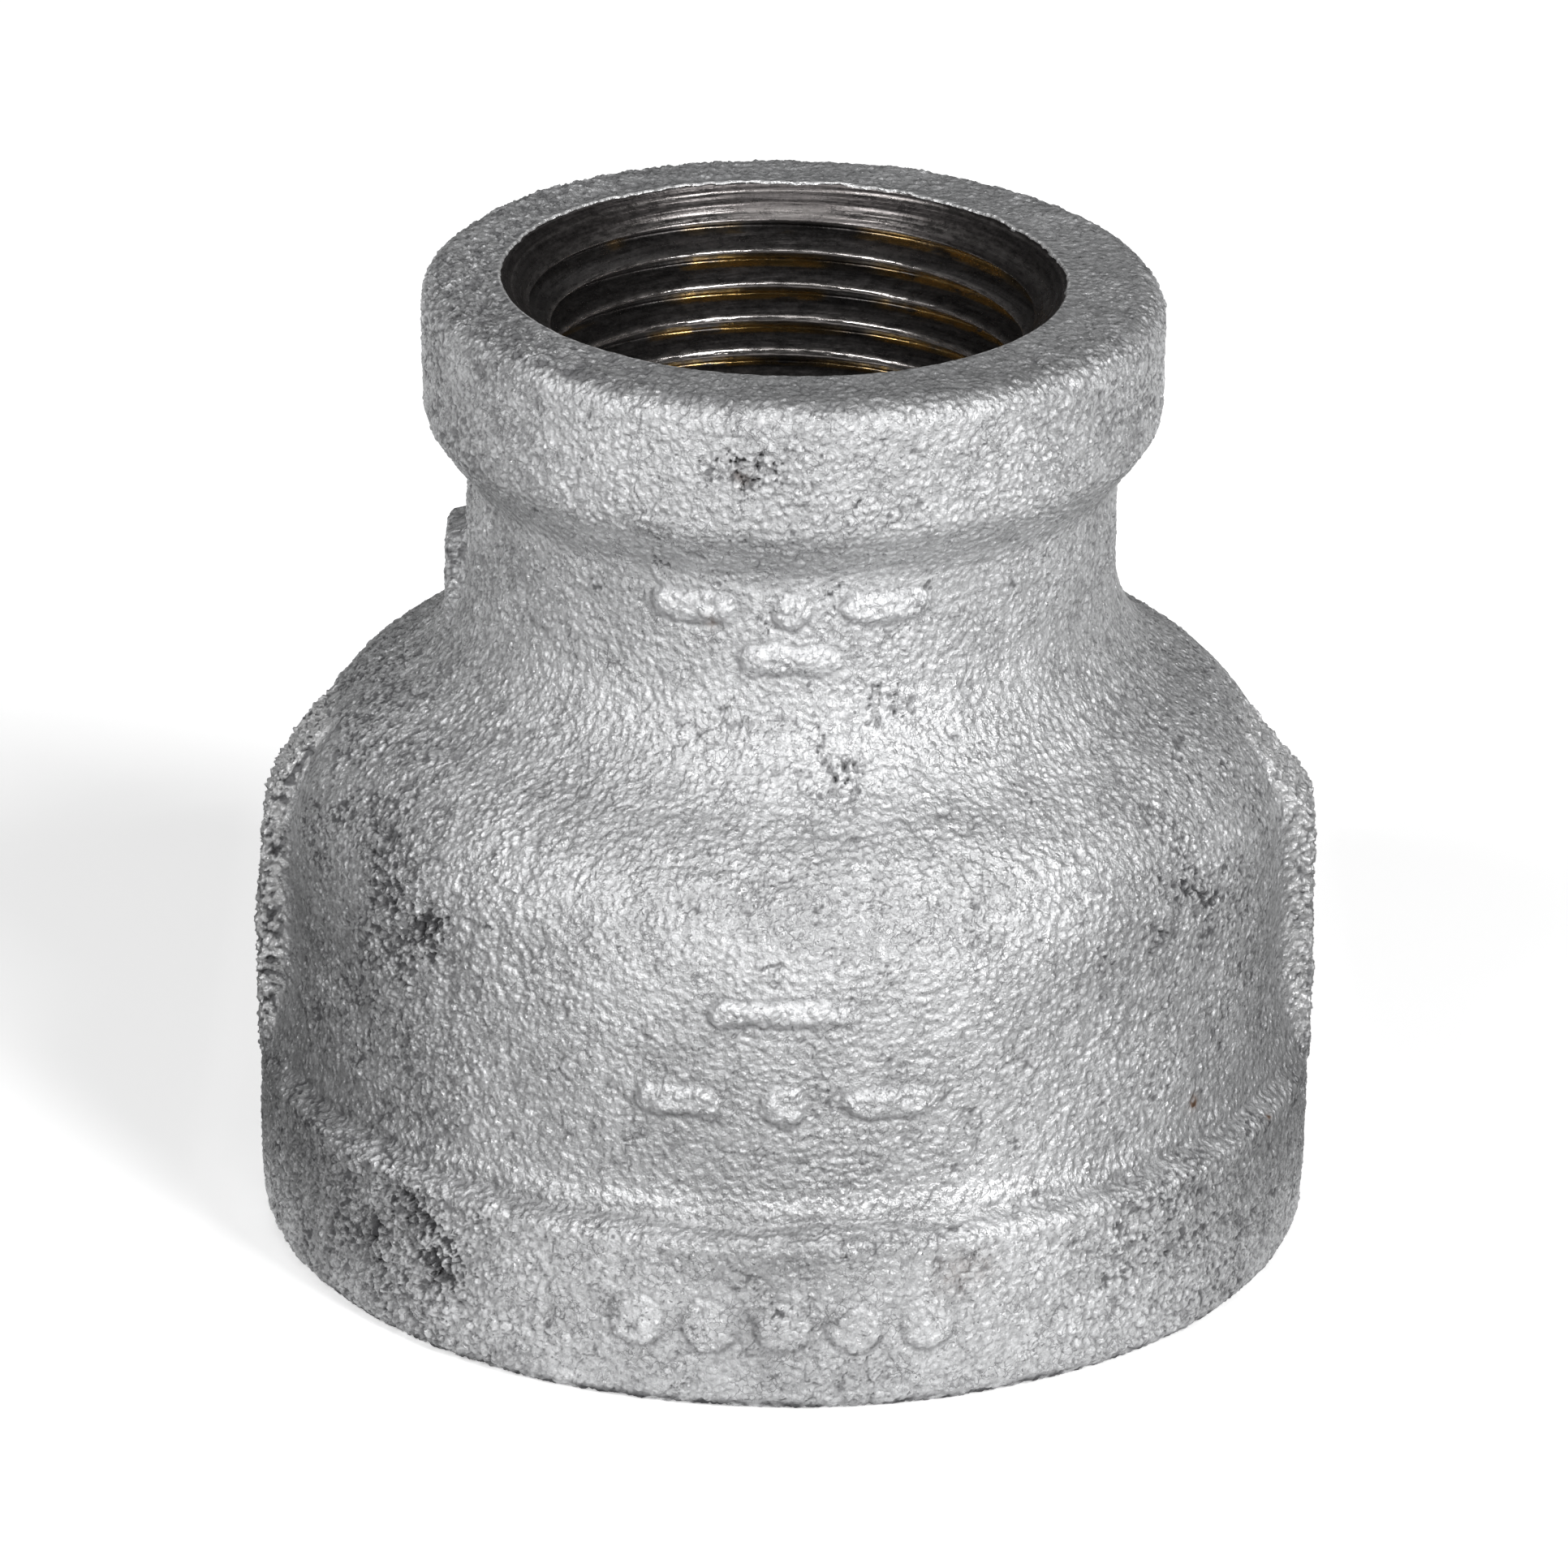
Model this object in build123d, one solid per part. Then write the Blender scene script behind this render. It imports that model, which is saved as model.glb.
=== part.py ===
from build123d import *
from build123d.topology import SkipClean
import os
from math import atan, atan2, cos, degrees, radians, sin, sqrt, tan

os.makedirs("parts", exist_ok=True)

# Banded reducing socket, 1 1/4 x 3/4, female taper threads at both ends.
# Frame: millimetres, +Z along the axis from the large end to the small end,
# origin at the centre of the large end's face, wrench ribs on +X and -X.

# ---------------------------------------------------------------- dimensions
LENGTH = 49.60            # face to face, over the zinc
ZINC = 0.10               # hot-dip coating thickness

R_SMALL_BAND = 18.45      # small end band, outside
R_LARGE_BAND = 26.65      # large end band, outside
R_NECK = 16.25            # neck below the small band
R_BELL = 25.00            # bell above the large band

Z_LARGE_BAND = 8.90       # top corner of the large band
Z_BELL_FOOT = 10.10       # where the large band's sloping top meets the bell
Z_DOME = 20.80            # height of the dome arc's centre
R_DOME = 8.80             # dome arc, bell to shoulder
R_SHOULDER = 7.80         # hollow arc, shoulder to neck
Z_NECK_TOP = 39.90        # where the neck meets the small band's underside
Z_SMALL_BAND = 42.80      # lower corner of the small band

F_LARGE_FOOT = 0.90       # edge radii of the outside
F_LARGE_BAND = 0.80
F_BELL_FOOT = 2.20
F_NECK_TOP = 1.80
F_SMALL_BAND = 1.90
F_SMALL_RIM = 1.40

# small end: 3/4-14 taper pipe thread
PITCH_S = 25.4 / 14
DRILL_S = 11.75           # tapping hole, 59/64 in drill cutting a little over size
PITCH_R_S = 25.117 / 2    # pitch radius at the face
CHAMFER_S = 14.10         # chamfer radius at the face
START_S = 125.0           # where the groove starts, degrees about Z
THREAD_S = 14.60          # depth of full thread below the face
BORE_S = 16.00            # depth of the tapping hole

# large end: 1 1/4-11.5 taper pipe thread
PITCH_L = 25.4 / 11.5
DRILL_L = 19.12           # tapping hole, 1 1/2 in drill cutting a little over size
PITCH_R_L = 40.218 / 2
CHAMFER_L = 21.80
THREAD_L = 16.80
BORE_L = 18.60

TAPER = 1 / 32            # radius per length, both threads
FLANK = radians(30)       # half the thread angle
ROOT = 0.38               # groove root above the pitch line, in pitches
ROOT_FLAT = 0.06          # width of the root flat, in pitches
CREST = 0.408             # groove side reaches this far below the pitch line, in pitches

# cast waterway between the threads
R_CHAMBER = 21.10         # inside the bell
R_CHAMBER_DOME = 4.90
R_CHAMBER_SHOULDER = 11.70
R_THROAT = 12.45          # just under the small bore

# wrench ribs on the bell, at +X and -X
RIB_R = 26.75             # outside of the rib, a little prouder than the band
RIB_WIDTH = 5.00
# (r, z) of the rib's upper corner, its edge radius, and (r, z) where the top meets the dome
RIB_TOPS = {
    1: ((26.65, 21.95), 1.60, (22.95, 26.50)),
    -1: ((26.75, 22.95), 7.60, (22.70, 26.75)),
}

# small cast lug on the neck at -X
LUG_R = 17.30
LUG_WIDTH = 3.40
LUG_LOW, LUG_HIGH = 31.60, 37.00

# raised foundry marks, plain bars and dots
MARK_H = 0.35


# ---------------------------------------------------------------- helpers
def revolve_rz(points, corner_radii):
    """Solid of revolution about Z of a closed (r, z) outline whose first and last points lie on the axis."""
    with BuildPart() as p:
        with BuildSketch(Plane.XZ):
            with BuildLine():
                FilletPolyline(*points, radius=corner_radii)
                Line(points[-1], points[0])
            make_face()
        revolve(axis=Axis.Z)
    return p.part


def offset_line(points, d):
    """Shift an open polyline sideways by d, to the left of its direction of travel, mitring the corners."""
    out = []
    n = len(points)
    segs = []
    for (x0, y0), (x1, y1) in zip(points[:-1], points[1:]):
        length = sqrt((x1 - x0) ** 2 + (y1 - y0) ** 2)
        ux, uy = (x1 - x0) / length, (y1 - y0) / length
        segs.append((x0 - uy * d, y0 + ux * d, ux, uy))
    out.append((segs[0][0], segs[0][1]))
    for a, b in zip(segs[:-1], segs[1:]):
        det = a[2] * b[3] - a[3] * b[2]
        t = ((b[0] - a[0]) * b[3] - (b[1] - a[1]) * b[2]) / det
        out.append((a[0] + a[2] * t, a[1] + a[3] * t))
    x1, y1 = points[-1]
    ux, uy = segs[-1][2], segs[-1][3]
    out.append((x1 - uy * d, y1 + ux * d))
    return out


def s_curve(r_low, z_low, arc_low, r_high, arc_high):
    """Corner points of the two tangent arcs that lead from a lower wall at r_low up to a narrower wall at r_high."""
    centre = r_low - arc_low
    dr = r_high + arc_high - centre
    dz = sqrt((arc_low + arc_high) ** 2 - dr ** 2)
    cosa, sina = dr / (arc_low + arc_high), dz / (arc_low + arc_high)
    jr, jz = centre + arc_low * cosa, z_low + arc_low * sina
    k_low = (r_low - jr) / sina
    k_high = (jr - r_high) / sina
    return (r_low, jz - k_low * cosa), (r_high, jz + k_high * cosa)


# ---------------------------------------------------------------- outside of the body
dome_corner, shoulder_corner = s_curve(R_BELL, Z_DOME, R_DOME, R_NECK, R_SHOULDER)
OUTLINE = [
    (R_LARGE_BAND, 0.0),
    (R_LARGE_BAND, Z_LARGE_BAND),
    (R_BELL, Z_BELL_FOOT),
    dome_corner,
    shoulder_corner,
    (R_NECK, Z_NECK_TOP),
    (R_SMALL_BAND, Z_SMALL_BAND),
    (R_SMALL_BAND, LENGTH),
    (0.0, LENGTH),
]
# +1 where the corner is convex, -1 where it is hollow
CORNERS = [(F_LARGE_BAND, 1), (F_BELL_FOOT, -1), (R_DOME * 0.99, 1), (R_SHOULDER * 0.99, -1),
           (F_NECK_TOP, -1), (F_SMALL_BAND, 1), (F_SMALL_RIM, 1)]


def round_body(inset):
    line = offset_line(OUTLINE, inset)
    line[0] = (R_LARGE_BAND - inset, 0.0)
    line[-1] = (0.0, LENGTH - inset)
    radii = [F_LARGE_FOOT - inset] + [r - s * inset for r, s in CORNERS]
    return revolve_rz([(0.0, 0.0)] + line, radii)


def rib(side, inset):
    """Wrench rib on the bell: straight back, top leaning in along the dome."""
    r, h = RIB_R - inset, RIB_WIDTH / 2 - inset
    corner, corner_radius, peak = RIB_TOPS[side]
    corner = (corner[0] - inset, corner[1] - 0.4 * inset)
    peak = (peak[0] - 0.7 * inset, peak[1] - 0.7 * inset)
    with BuildPart() as p:
        with BuildSketch(Plane.XZ):
            with BuildLine():
                FilletPolyline((17.0, 6.5), (r - 0.9, 6.5), (r, 8.4), corner, peak, (17.0, peak[1] + 0.4),
                               radius=[0.4, 3.0, corner_radius, 0.9])
                Line((17.0, peak[1] + 0.4), (17.0, 6.5))
            make_face()
        extrude(amount=h, both=True)
    solid = p.part
    return solid if side > 0 else solid.rotate(Axis.Z, 180)


def lug(inset):
    """Small cast lug on the neck, at -X."""
    r, h = LUG_R - inset, LUG_WIDTH / 2 - inset
    with BuildPart() as p:
        with BuildSketch(Plane.XZ):
            with BuildLine():
                FilletPolyline((14.0, LUG_LOW - 1.0), (r, LUG_LOW), (r, LUG_HIGH - 0.6), (14.0, LUG_HIGH + 0.6),
                               radius=[0.5, 0.6])
                Line((14.0, LUG_HIGH + 0.6), (14.0, LUG_LOW - 1.0))
            make_face()
        extrude(amount=h, both=True)
    return p.part.rotate(Axis.Z, 180)


def raised_bar(angle, z, radius, width, height, inset):
    """Round-ended raised bar on a wall of the given radius, facing outward at an angle about Z."""
    w, h = width - 2 * inset, height - 2 * inset
    place = Location((0, 0, z)) * Location((0, 0, 0), (0, 0, angle)) * Plane.YZ.location
    with BuildPart() as p:
        with BuildSketch(Plane.XY.offset(radius - 3.0)):
            if width > height:
                SlotOverall(w, h)
            else:
                Circle(h / 2)
        extrude(amount=3.0 + MARK_H - inset)
    return place * p.part


# angle about Z of the side that faces -Y is -90 degrees
MARKS = [
    (-107, 38.2, R_NECK, 4.4, 1.5), (-90, 38.2, R_NECK, 1.8, 1.8), (-73, 38.2, R_NECK, 4.4, 1.5),  # neck: bar, dot, bar
    (-90, 35.6, R_NECK, 5.0, 1.4),                                                                # over a short bar
    (-90, 20.6, R_BELL - 0.05, 7.4, 1.3),                                                         # bell: a bar
    (-102, 15.8, R_BELL, 4.2, 1.5), (-90, 15.8, R_BELL, 2.2, 2.2), (-78, 15.8, R_BELL, 4.6, 1.5),  # over bar, dot, bar
]
for offset in (-15.6, -7.8, 0.0, 7.8, 15.6):           # large band: a row of low dots
    MARKS.append((-90 + offset, 4.6, R_LARGE_BAND, 2.7, 2.7))


def outside(inset):
    body = round_body(inset)
    for side in (1, -1):
        body += rib(side, inset)
    body += lug(inset)
    for angle, z, radius, width, height in MARKS:
        body += raised_bar(angle, z, radius, width, height, inset)
    return body


# ---------------------------------------------------------------- inside of the body
Z_BORE_S = LENGTH - BORE_S
SECTORS = 8               # the tapped sleeves are laid up in equal sectors


def turned(points):
    """Solid of revolution about Z of a closed straight-sided (r, z) outline."""
    with BuildPart() as p:
        with BuildSketch(Plane.XZ):
            with BuildLine():
                Polyline(*points, close=True)
            make_face()
        revolve(axis=Axis.Z)
    return p.part


def ring(r_in, r_out, z_low, z_high):
    return turned([(r_in, z_low), (r_out, z_low), (r_out, z_high), (r_in, z_high)])


def plug(radius, z_low, z_high):
    return turned([(0.0, z_low), (radius, z_low), (radius, z_high), (0.0, z_high)])


def waterway(inset):
    """Cast passage between the two bores: cone, chamber wall, dome arc, shoulder arc, cone into the small bore."""
    centre = R_CHAMBER - R_CHAMBER_DOME
    total = R_CHAMBER_DOME + R_CHAMBER_SHOULDER
    rs = R_THROAT + R_CHAMBER_SHOULDER
    dr = rs - centre
    dz = sqrt(total ** 2 - dr ** 2)
    zs = Z_DOME + dz
    cosa, sina = dr / total, dz / total
    d, s = R_CHAMBER_DOME - inset, R_CHAMBER_SHOULDER + inset
    join = (centre + d * cosa, Z_DOME + d * sina)
    half = sqrt((1 + cosa) / 2), sqrt((1 - cosa) / 2)
    dome_mid = (centre + d * half[0], Z_DOME + d * half[1])
    z_end = Z_BORE_S - 1.0
    r_end = rs - sqrt(s ** 2 - (zs - z_end) ** 2)
    a0, a1 = atan2(zs - join[1], rs - join[0]), atan2(zs - z_end, rs - r_end)
    mid = (a0 + a1) / 2
    shoulder_mid = (rs - s * cos(mid), zs - s * sin(mid))
    # cone at the foot, from the large bore's end up to the chamber wall
    slope_z = (R_CHAMBER - DRILL_L) * 0.6
    run = sqrt((R_CHAMBER - DRILL_L) ** 2 + slope_z ** 2)
    ux, uz = (R_CHAMBER - DRILL_L) / run, slope_z / run
    foot = (DRILL_L - uz * inset, BORE_L + ux * inset)
    knee_z = foot[1] + (R_CHAMBER - inset - foot[0]) * uz / ux
    if inset:
        foot = (foot[0] - ux, foot[1] - uz)
    # cone at the head, into the small bore
    k = 1.0 * (1 if inset else 0)
    head_r = DRILL_S - k
    head_z = z_end + (r_end - head_r)
    with BuildPart() as p:
        with BuildSketch(Plane.XZ):
            with BuildLine():
                Polyline((0.0, foot[1]), foot, (R_CHAMBER - inset, knee_z), (R_CHAMBER - inset, Z_DOME))
                ThreePointArc((R_CHAMBER - inset, Z_DOME), dome_mid, join)
                ThreePointArc(join, shoulder_mid, (r_end, z_end))
                Polyline((r_end, z_end), (head_r, head_z), (0.0, head_z), (0.0, foot[1]))
            make_face()
        revolve(axis=Axis.Z)
    return p.part


def chamfer_cone(z_face, r_face, r_bore, way):
    """45 degree chamfer cut, run a little past the face. way is +1 for the top face and -1 for the bottom one."""
    depth = r_face - r_bore
    return turned([(0.0, z_face + 1.0 * way), (r_face + 1.0, z_face + 1.0 * way),
                   (r_bore - 0.5, z_face - (depth + 0.5) * way), (0.0, z_face - (depth + 0.5) * way)])


def thread_cutter(pitch, pitch_radius, depth, way, z_face):
    """Tapered right-hand V groove as a solid, wound from the full thread depth out past the face."""
    r_path = pitch_radius - depth * TAPER
    outer = r_path + ROOT * pitch
    inner = r_path - CREST * pitch
    half_root = ROOT_FLAT * pitch / 2
    half_inner = half_root + (outer - inner) * tan(FLANK)
    with BuildPart() as p:
        with BuildLine():
            Helix(pitch=pitch, height=depth + 1.2 * pitch, radius=r_path, cone_angle=degrees(atan(TAPER)))
        with BuildSketch(Plane.XZ):
            with BuildLine():
                Polyline((inner, -half_inner), (outer, -half_root), (outer, half_root), (inner, half_inner), close=True)
            make_face()
        sweep(is_frenet=True)
    cutter = p.part
    if way > 0:
        return cutter.rotate(Axis.Z, START_S).moved(Location((0, 0, z_face - depth)))
    return cutter.rotate(Axis.X, 180).moved(Location((0, 0, z_face + depth)))


def tapped_sleeve(drill, r_out, z_low, z_high, cutters):
    """Threaded sleeve as sectors, so that each crest land is a short patch of the drilled cylinder."""
    sleeve = ring(drill, r_out, z_low, z_high)
    for cutter in cutters:
        sleeve = sleeve - cutter
    sectors = []
    step = 360.0 / SECTORS
    for i in range(SECTORS):
        a = radians(i * step)
        b = radians((i + 1) * step)
        far = r_out * 1.4
        with BuildPart() as wedge:
            with BuildSketch(Plane.XY.offset(z_low - 1.0)):
                with BuildLine():
                    Polyline((0.0, 0.0), (far * cos(a), far * sin(a)), (far * cos(b), far * sin(b)), close=True)
                make_face()
            extrude(amount=z_high - z_low + 2.0)
        sectors.append(sleeve & wedge.part)
    return sectors


def one_solid(shape, name):
    solids = shape.solids()
    solids.sort(key=lambda s: -s.volume)
    print(name, "solids", len(solids), "volume", round(solids[0].volume, 2), "valid", solids[0].is_valid)
    return solids[0]


# ---------------------------------------------------------------- the three nodes
skin_outer = outside(0.0)
iron_outer = outside(ZINC)

chamfer_s = chamfer_cone(LENGTH, CHAMFER_S, DRILL_S, 1)
chamfer_l = chamfer_cone(0.0, CHAMFER_L, DRILL_L, -1)
bore_s = plug(DRILL_S, Z_BORE_S - 1.0, LENGTH + 1.0)
bore_l = plug(DRILL_L, -1.0, BORE_L)
groove_s = thread_cutter(PITCH_S, PITCH_R_S, THREAD_S, 1, LENGTH)
groove_l = thread_cutter(PITCH_L, PITCH_R_L, THREAD_L, -1, 0.0)

SLEEVE_S = (14.60, LENGTH - THREAD_S - 1.15, LENGTH - ZINC)
SLEEVE_L = (22.60, 0.0, THREAD_L + 1.40)

casting = iron_outer - waterway(0.0) - bore_s - bore_l
casting = casting - ring(DRILL_S - 1.0, SLEEVE_S[0], SLEEVE_S[1], SLEEVE_S[2])
casting = casting - ring(DRILL_L - 1.0, SLEEVE_L[0], SLEEVE_L[1], SLEEVE_L[2])
sleeves = tapped_sleeve(DRILL_S, *SLEEVE_S, [groove_s, chamfer_s])
sleeves += tapped_sleeve(DRILL_L, *SLEEVE_L, [groove_l, chamfer_l])
with SkipClean():
    casting = casting.fuse(*sleeves)

zinc_outside = skin_outer - iron_outer - chamfer_s - plug(CHAMFER_L + 1.0, -1.0, 5.0) - bore_s
zinc_inside = waterway(0.0) - waterway(ZINC) - plug(DRILL_L, BORE_L - 1.0, BORE_L + 1.5) - plug(DRILL_S, Z_BORE_S - 2.0, LENGTH)

NODES = {
    "iron_casting": casting,
    "zinc_coating_outside": zinc_outside,
    "zinc_coating_inside": zinc_inside,
}
for name, shape in NODES.items():
    export_step(one_solid(shape, name), f"parts/{name}.step")
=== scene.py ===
import bpy
import math
import numpy as np
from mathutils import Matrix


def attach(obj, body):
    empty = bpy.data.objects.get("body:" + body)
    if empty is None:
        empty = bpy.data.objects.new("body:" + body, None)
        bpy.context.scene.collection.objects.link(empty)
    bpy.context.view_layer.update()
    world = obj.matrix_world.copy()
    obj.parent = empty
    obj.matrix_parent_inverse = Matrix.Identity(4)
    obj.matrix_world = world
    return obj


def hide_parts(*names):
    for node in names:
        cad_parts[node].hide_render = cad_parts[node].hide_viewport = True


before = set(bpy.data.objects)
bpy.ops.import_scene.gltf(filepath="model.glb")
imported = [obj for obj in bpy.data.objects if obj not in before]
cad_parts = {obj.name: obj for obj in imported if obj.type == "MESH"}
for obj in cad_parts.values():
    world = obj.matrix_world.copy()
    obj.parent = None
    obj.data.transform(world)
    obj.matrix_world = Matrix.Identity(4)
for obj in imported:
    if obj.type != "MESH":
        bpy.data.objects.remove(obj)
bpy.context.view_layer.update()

# Banded reducing socket, hot-dip galvanised. Shapes are worked out in millimetres and written in metres.
MM = 0.001
PI = math.pi
rng = np.random.default_rng(240)

# ---------------------------------------------------------------- sizes, as the CAD has them (mm)
LENGTH = 49.60
R_SMALL_BAND, R_LARGE_BAND, R_NECK, R_BELL = 18.45, 26.65, 16.25, 25.00
Z_LARGE_BAND, Z_BELL_FOOT, Z_DOME = 8.90, 10.10, 20.80
R_DOME, R_SHOULDER = 8.80, 7.80
Z_NECK_TOP, Z_SMALL_BAND = 39.90, 42.80
CHAMFER_S, CHAMFER_L = 14.10, 21.80
DRILL_S, DRILL_L = 11.75, 19.12
PITCH_S, PITCH_L = 25.4 / 14, 25.4 / 11.5
PITCH_R_S, PITCH_R_L = 25.117 / 2, 40.218 / 2
THREAD_S, BORE_S = 14.60, 16.00
THREAD_L, BORE_L = 16.80, 18.60
RIB_R, RIB_WIDTH = 26.75, 5.00
RIB_TOPS = {1: ((26.65, 21.95), 1.60, (22.95, 26.50)), -1: ((26.75, 22.95), 7.60, (22.70, 26.75))}
LUG_R, LUG_WIDTH, LUG_LOW, LUG_HIGH = 17.30, 3.40, 31.60, 37.00

# looks of this casting: the small bore sits a little off the band's centre and the small face is a little out of square
BORE_SHIFT = -0.30
FACE_TILT = math.tan(math.radians(0.80))
LEAN = 0.13                     # the upper half of the casting sits this far towards +X


# ---------------------------------------------------------------- noise in numpy
def perm_table(seed):
    r = np.random.default_rng(seed)
    return r.permutation(4096).astype(np.int64)


GRADS = np.array([(x, y, z) for x in (-1, 0, 1) for y in (-1, 0, 1) for z in (-1, 0, 1)
                  if abs(x) + abs(y) + abs(z) == 2], np.float32)


def hash3(ix, iy, iz, table):
    return table[(table[(table[ix & 4095] + iy) & 4095] + iz) & 4095]


def noise3(p, seed=0):
    """Gradient noise, about -0.7 to 0.7, at points p of shape (n, 3)."""
    table = perm_table(seed)
    i = np.floor(p).astype(np.int64)
    f = (p - i).astype(np.float32)
    w = f * f * f * (f * (f * 6 - 15) + 10)
    out = np.zeros(len(p), np.float32)
    for dx in (0, 1):
        wx = w[:, 0] if dx else 1 - w[:, 0]
        for dy in (0, 1):
            wy = w[:, 1] if dy else 1 - w[:, 1]
            for dz in (0, 1):
                wz = w[:, 2] if dz else 1 - w[:, 2]
                g = GRADS[hash3(i[:, 0] + dx, i[:, 1] + dy, i[:, 2] + dz, table) % 12]
                d = g[:, 0] * (f[:, 0] - dx) + g[:, 1] * (f[:, 1] - dy) + g[:, 2] * (f[:, 2] - dz)
                out += wx * wy * wz * d
    return out


def fbm(p, octaves, seed=0, gain=0.5):
    out = np.zeros(len(p), np.float32)
    amp, total = 1.0, 0.0
    for o in range(octaves):
        out += amp * noise3(p * (2.0 ** o) + 17.3 * o, seed + o)
        total += amp
        amp *= gain
    return out / total * 1.6


def cells(p, seed=0, jitter=0.9):
    """Distances to the nearest and second nearest scattered points, and a random number for the nearest."""
    table = perm_table(seed)
    t2 = perm_table(seed + 1).astype(np.float32) / 4096
    t3 = perm_table(seed + 2).astype(np.float32) / 4096
    i = np.floor(p).astype(np.int64)
    f = (p - i).astype(np.float32)
    f1 = np.full(len(p), 9.0, np.float32)
    f2 = np.full(len(p), 9.0, np.float32)
    who = np.zeros(len(p), np.float32)
    for dx in (-1, 0, 1):
        for dy in (-1, 0, 1):
            for dz in (-1, 0, 1):
                h = hash3(i[:, 0] + dx, i[:, 1] + dy, i[:, 2] + dz, table)
                px = dx + 0.5 + jitter * (h / 4096.0 - 0.5)
                py = dy + 0.5 + jitter * (t2[h] - 0.5)
                pz = dz + 0.5 + jitter * (t3[h] - 0.5)
                d = (px - f[:, 0]) ** 2 + (py - f[:, 1]) ** 2 + (pz - f[:, 2]) ** 2
                near = d < f1
                f2 = np.where(near, f1, np.minimum(f2, d))
                who = np.where(near, h / 4096.0, who)
                f1 = np.where(near, d, f1)
    return np.sqrt(f1), np.sqrt(f2), who.astype(np.float32)


def smoothstep(a, b, x):
    t = np.clip((x - a) / (b - a), 0, 1)
    return t * t * (3 - 2 * t)


# ---------------------------------------------------------------- profile
def filleted(points, radii, step):
    """Densely sampled open line with rounded corners."""
    out = [np.array(points[0], float)]
    for a, b, c, r in zip(points[:-2], points[1:-1], points[2:], radii):
        a, b, c = np.array(a, float), np.array(b, float), np.array(c, float)
        u, v = (a - b) / np.linalg.norm(a - b), (c - b) / np.linalg.norm(c - b)
        ang = math.acos(float(np.clip(u @ v, -1, 1)))
        t = r / math.tan(ang / 2)
        centre = b + (u + v) / np.linalg.norm(u + v) * (r / math.sin(ang / 2))
        p, q = b + u * t, b + v * t
        a0, a1 = math.atan2(*(p - centre)[::-1]), math.atan2(*(q - centre)[::-1])
        d = (a1 - a0 + PI) % (2 * PI) - PI
        n = max(4, int(abs(d) * r / step))
        for k in np.linspace(0, 1, n):
            out.append(centre + r * np.array([math.cos(a0 + d * k), math.sin(a0 + d * k)]))
    out.append(np.array(points[-1], float))
    line = [out[0]]
    for a, b in zip(out[:-1], out[1:]):
        n = max(1, int(np.linalg.norm(b - a) / step))
        for k in range(1, n + 1):
            line.append(a + (b - a) * k / n)
    return np.array(line)


def resample(line, step):
    s = np.concatenate([[0], np.cumsum(np.linalg.norm(np.diff(line, axis=0), axis=1))])
    n = int(round(s[-1] / step))
    t = np.linspace(0, s[-1], n + 1)
    return np.stack([np.interp(t, s, line[:, 0]), np.interp(t, s, line[:, 1])], -1), t


def s_curve(r_low, z_low, arc_low, r_high, arc_high):
    centre = r_low - arc_low
    dr = r_high + arc_high - centre
    dz = math.sqrt((arc_low + arc_high) ** 2 - dr ** 2)
    cosa, sina = dr / (arc_low + arc_high), dz / (arc_low + arc_high)
    jr, jz = centre + arc_low * cosa, z_low + arc_low * sina
    return ((r_low, jz - (r_low - jr) / sina * cosa), (r_high, jz + (jr - r_high) / sina * cosa))


DOME_CORNER, SHOULDER_CORNER = s_curve(R_BELL, Z_DOME, R_DOME, R_NECK, R_SHOULDER)


def outer_line(inset):
    """Outside of the body from the large chamfer's edge round to the small chamfer's edge."""
    i = inset
    pts = [(CHAMFER_L, i), (R_LARGE_BAND - i, i), (R_LARGE_BAND - i, Z_LARGE_BAND - i * 0.5),
           (R_BELL - i, Z_BELL_FOOT - i * 0.5), (R_BELL - i, DOME_CORNER[1]),
           (R_NECK - i, SHOULDER_CORNER[1]), (R_NECK - i, Z_NECK_TOP + i * 0.4),
           (R_SMALL_BAND - i, Z_SMALL_BAND + i * 0.4), (R_SMALL_BAND - i, LENGTH - i), (CHAMFER_S, LENGTH - i)]
    pts[4] = (pts[4][0], DOME_CORNER[1] - i * 0.35)
    pts[5] = (pts[5][0], SHOULDER_CORNER[1] - i * 0.35)
    return filleted(pts, [0.9 - i * 0.8, 0.8, 2.2, 8.65, 7.65, 1.8, 1.9, 1.4 - i], 0.02)


def lean(p):
    """Moves the upper half of the part a little towards +X, as this casting has it."""
    p[..., 0] += LEAN * smoothstep(22.0, 40.0, p[..., 2])


# ---------------------------------------------------------------- grid meshes
def grid_mesh(name, pts, attrs):
    """Closed ring-like mesh from points of shape (rows, columns, 3) in mm; both directions wrap round."""
    nr, nc, _ = pts.shape
    lean(pts)
    me = bpy.data.meshes.new(name)
    me.vertices.add(nr * nc)
    me.vertices.foreach_set("co", (pts * MM).astype(np.float32).ravel())
    r, c = np.arange(nr), np.arange(nc)
    r1, c1 = (r + 1) % nr, (c + 1) % nc
    quads = np.stack([r[:, None] * nc + c[None, :], r[:, None] * nc + c1[None, :],
                      r1[:, None] * nc + c1[None, :], r1[:, None] * nc + c[None, :]], -1).reshape(-1, 4)
    me.loops.add(quads.size)
    me.loops.foreach_set("vertex_index", quads.ravel().astype(np.int32))
    me.polygons.add(len(quads))
    me.polygons.foreach_set("loop_start", np.arange(0, quads.size, 4, dtype=np.int32))
    me.update(calc_edges=True)
    me.polygons.foreach_set("use_smooth", np.ones(len(quads), bool))
    for key, values in attrs.items():
        me.attributes.new(key, "FLOAT", "POINT").data.foreach_set("value", values.astype(np.float32).ravel())
    me.validate()
    ob = bpy.data.objects.new(name, me)
    bpy.context.scene.collection.objects.link(ob)
    return ob


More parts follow.
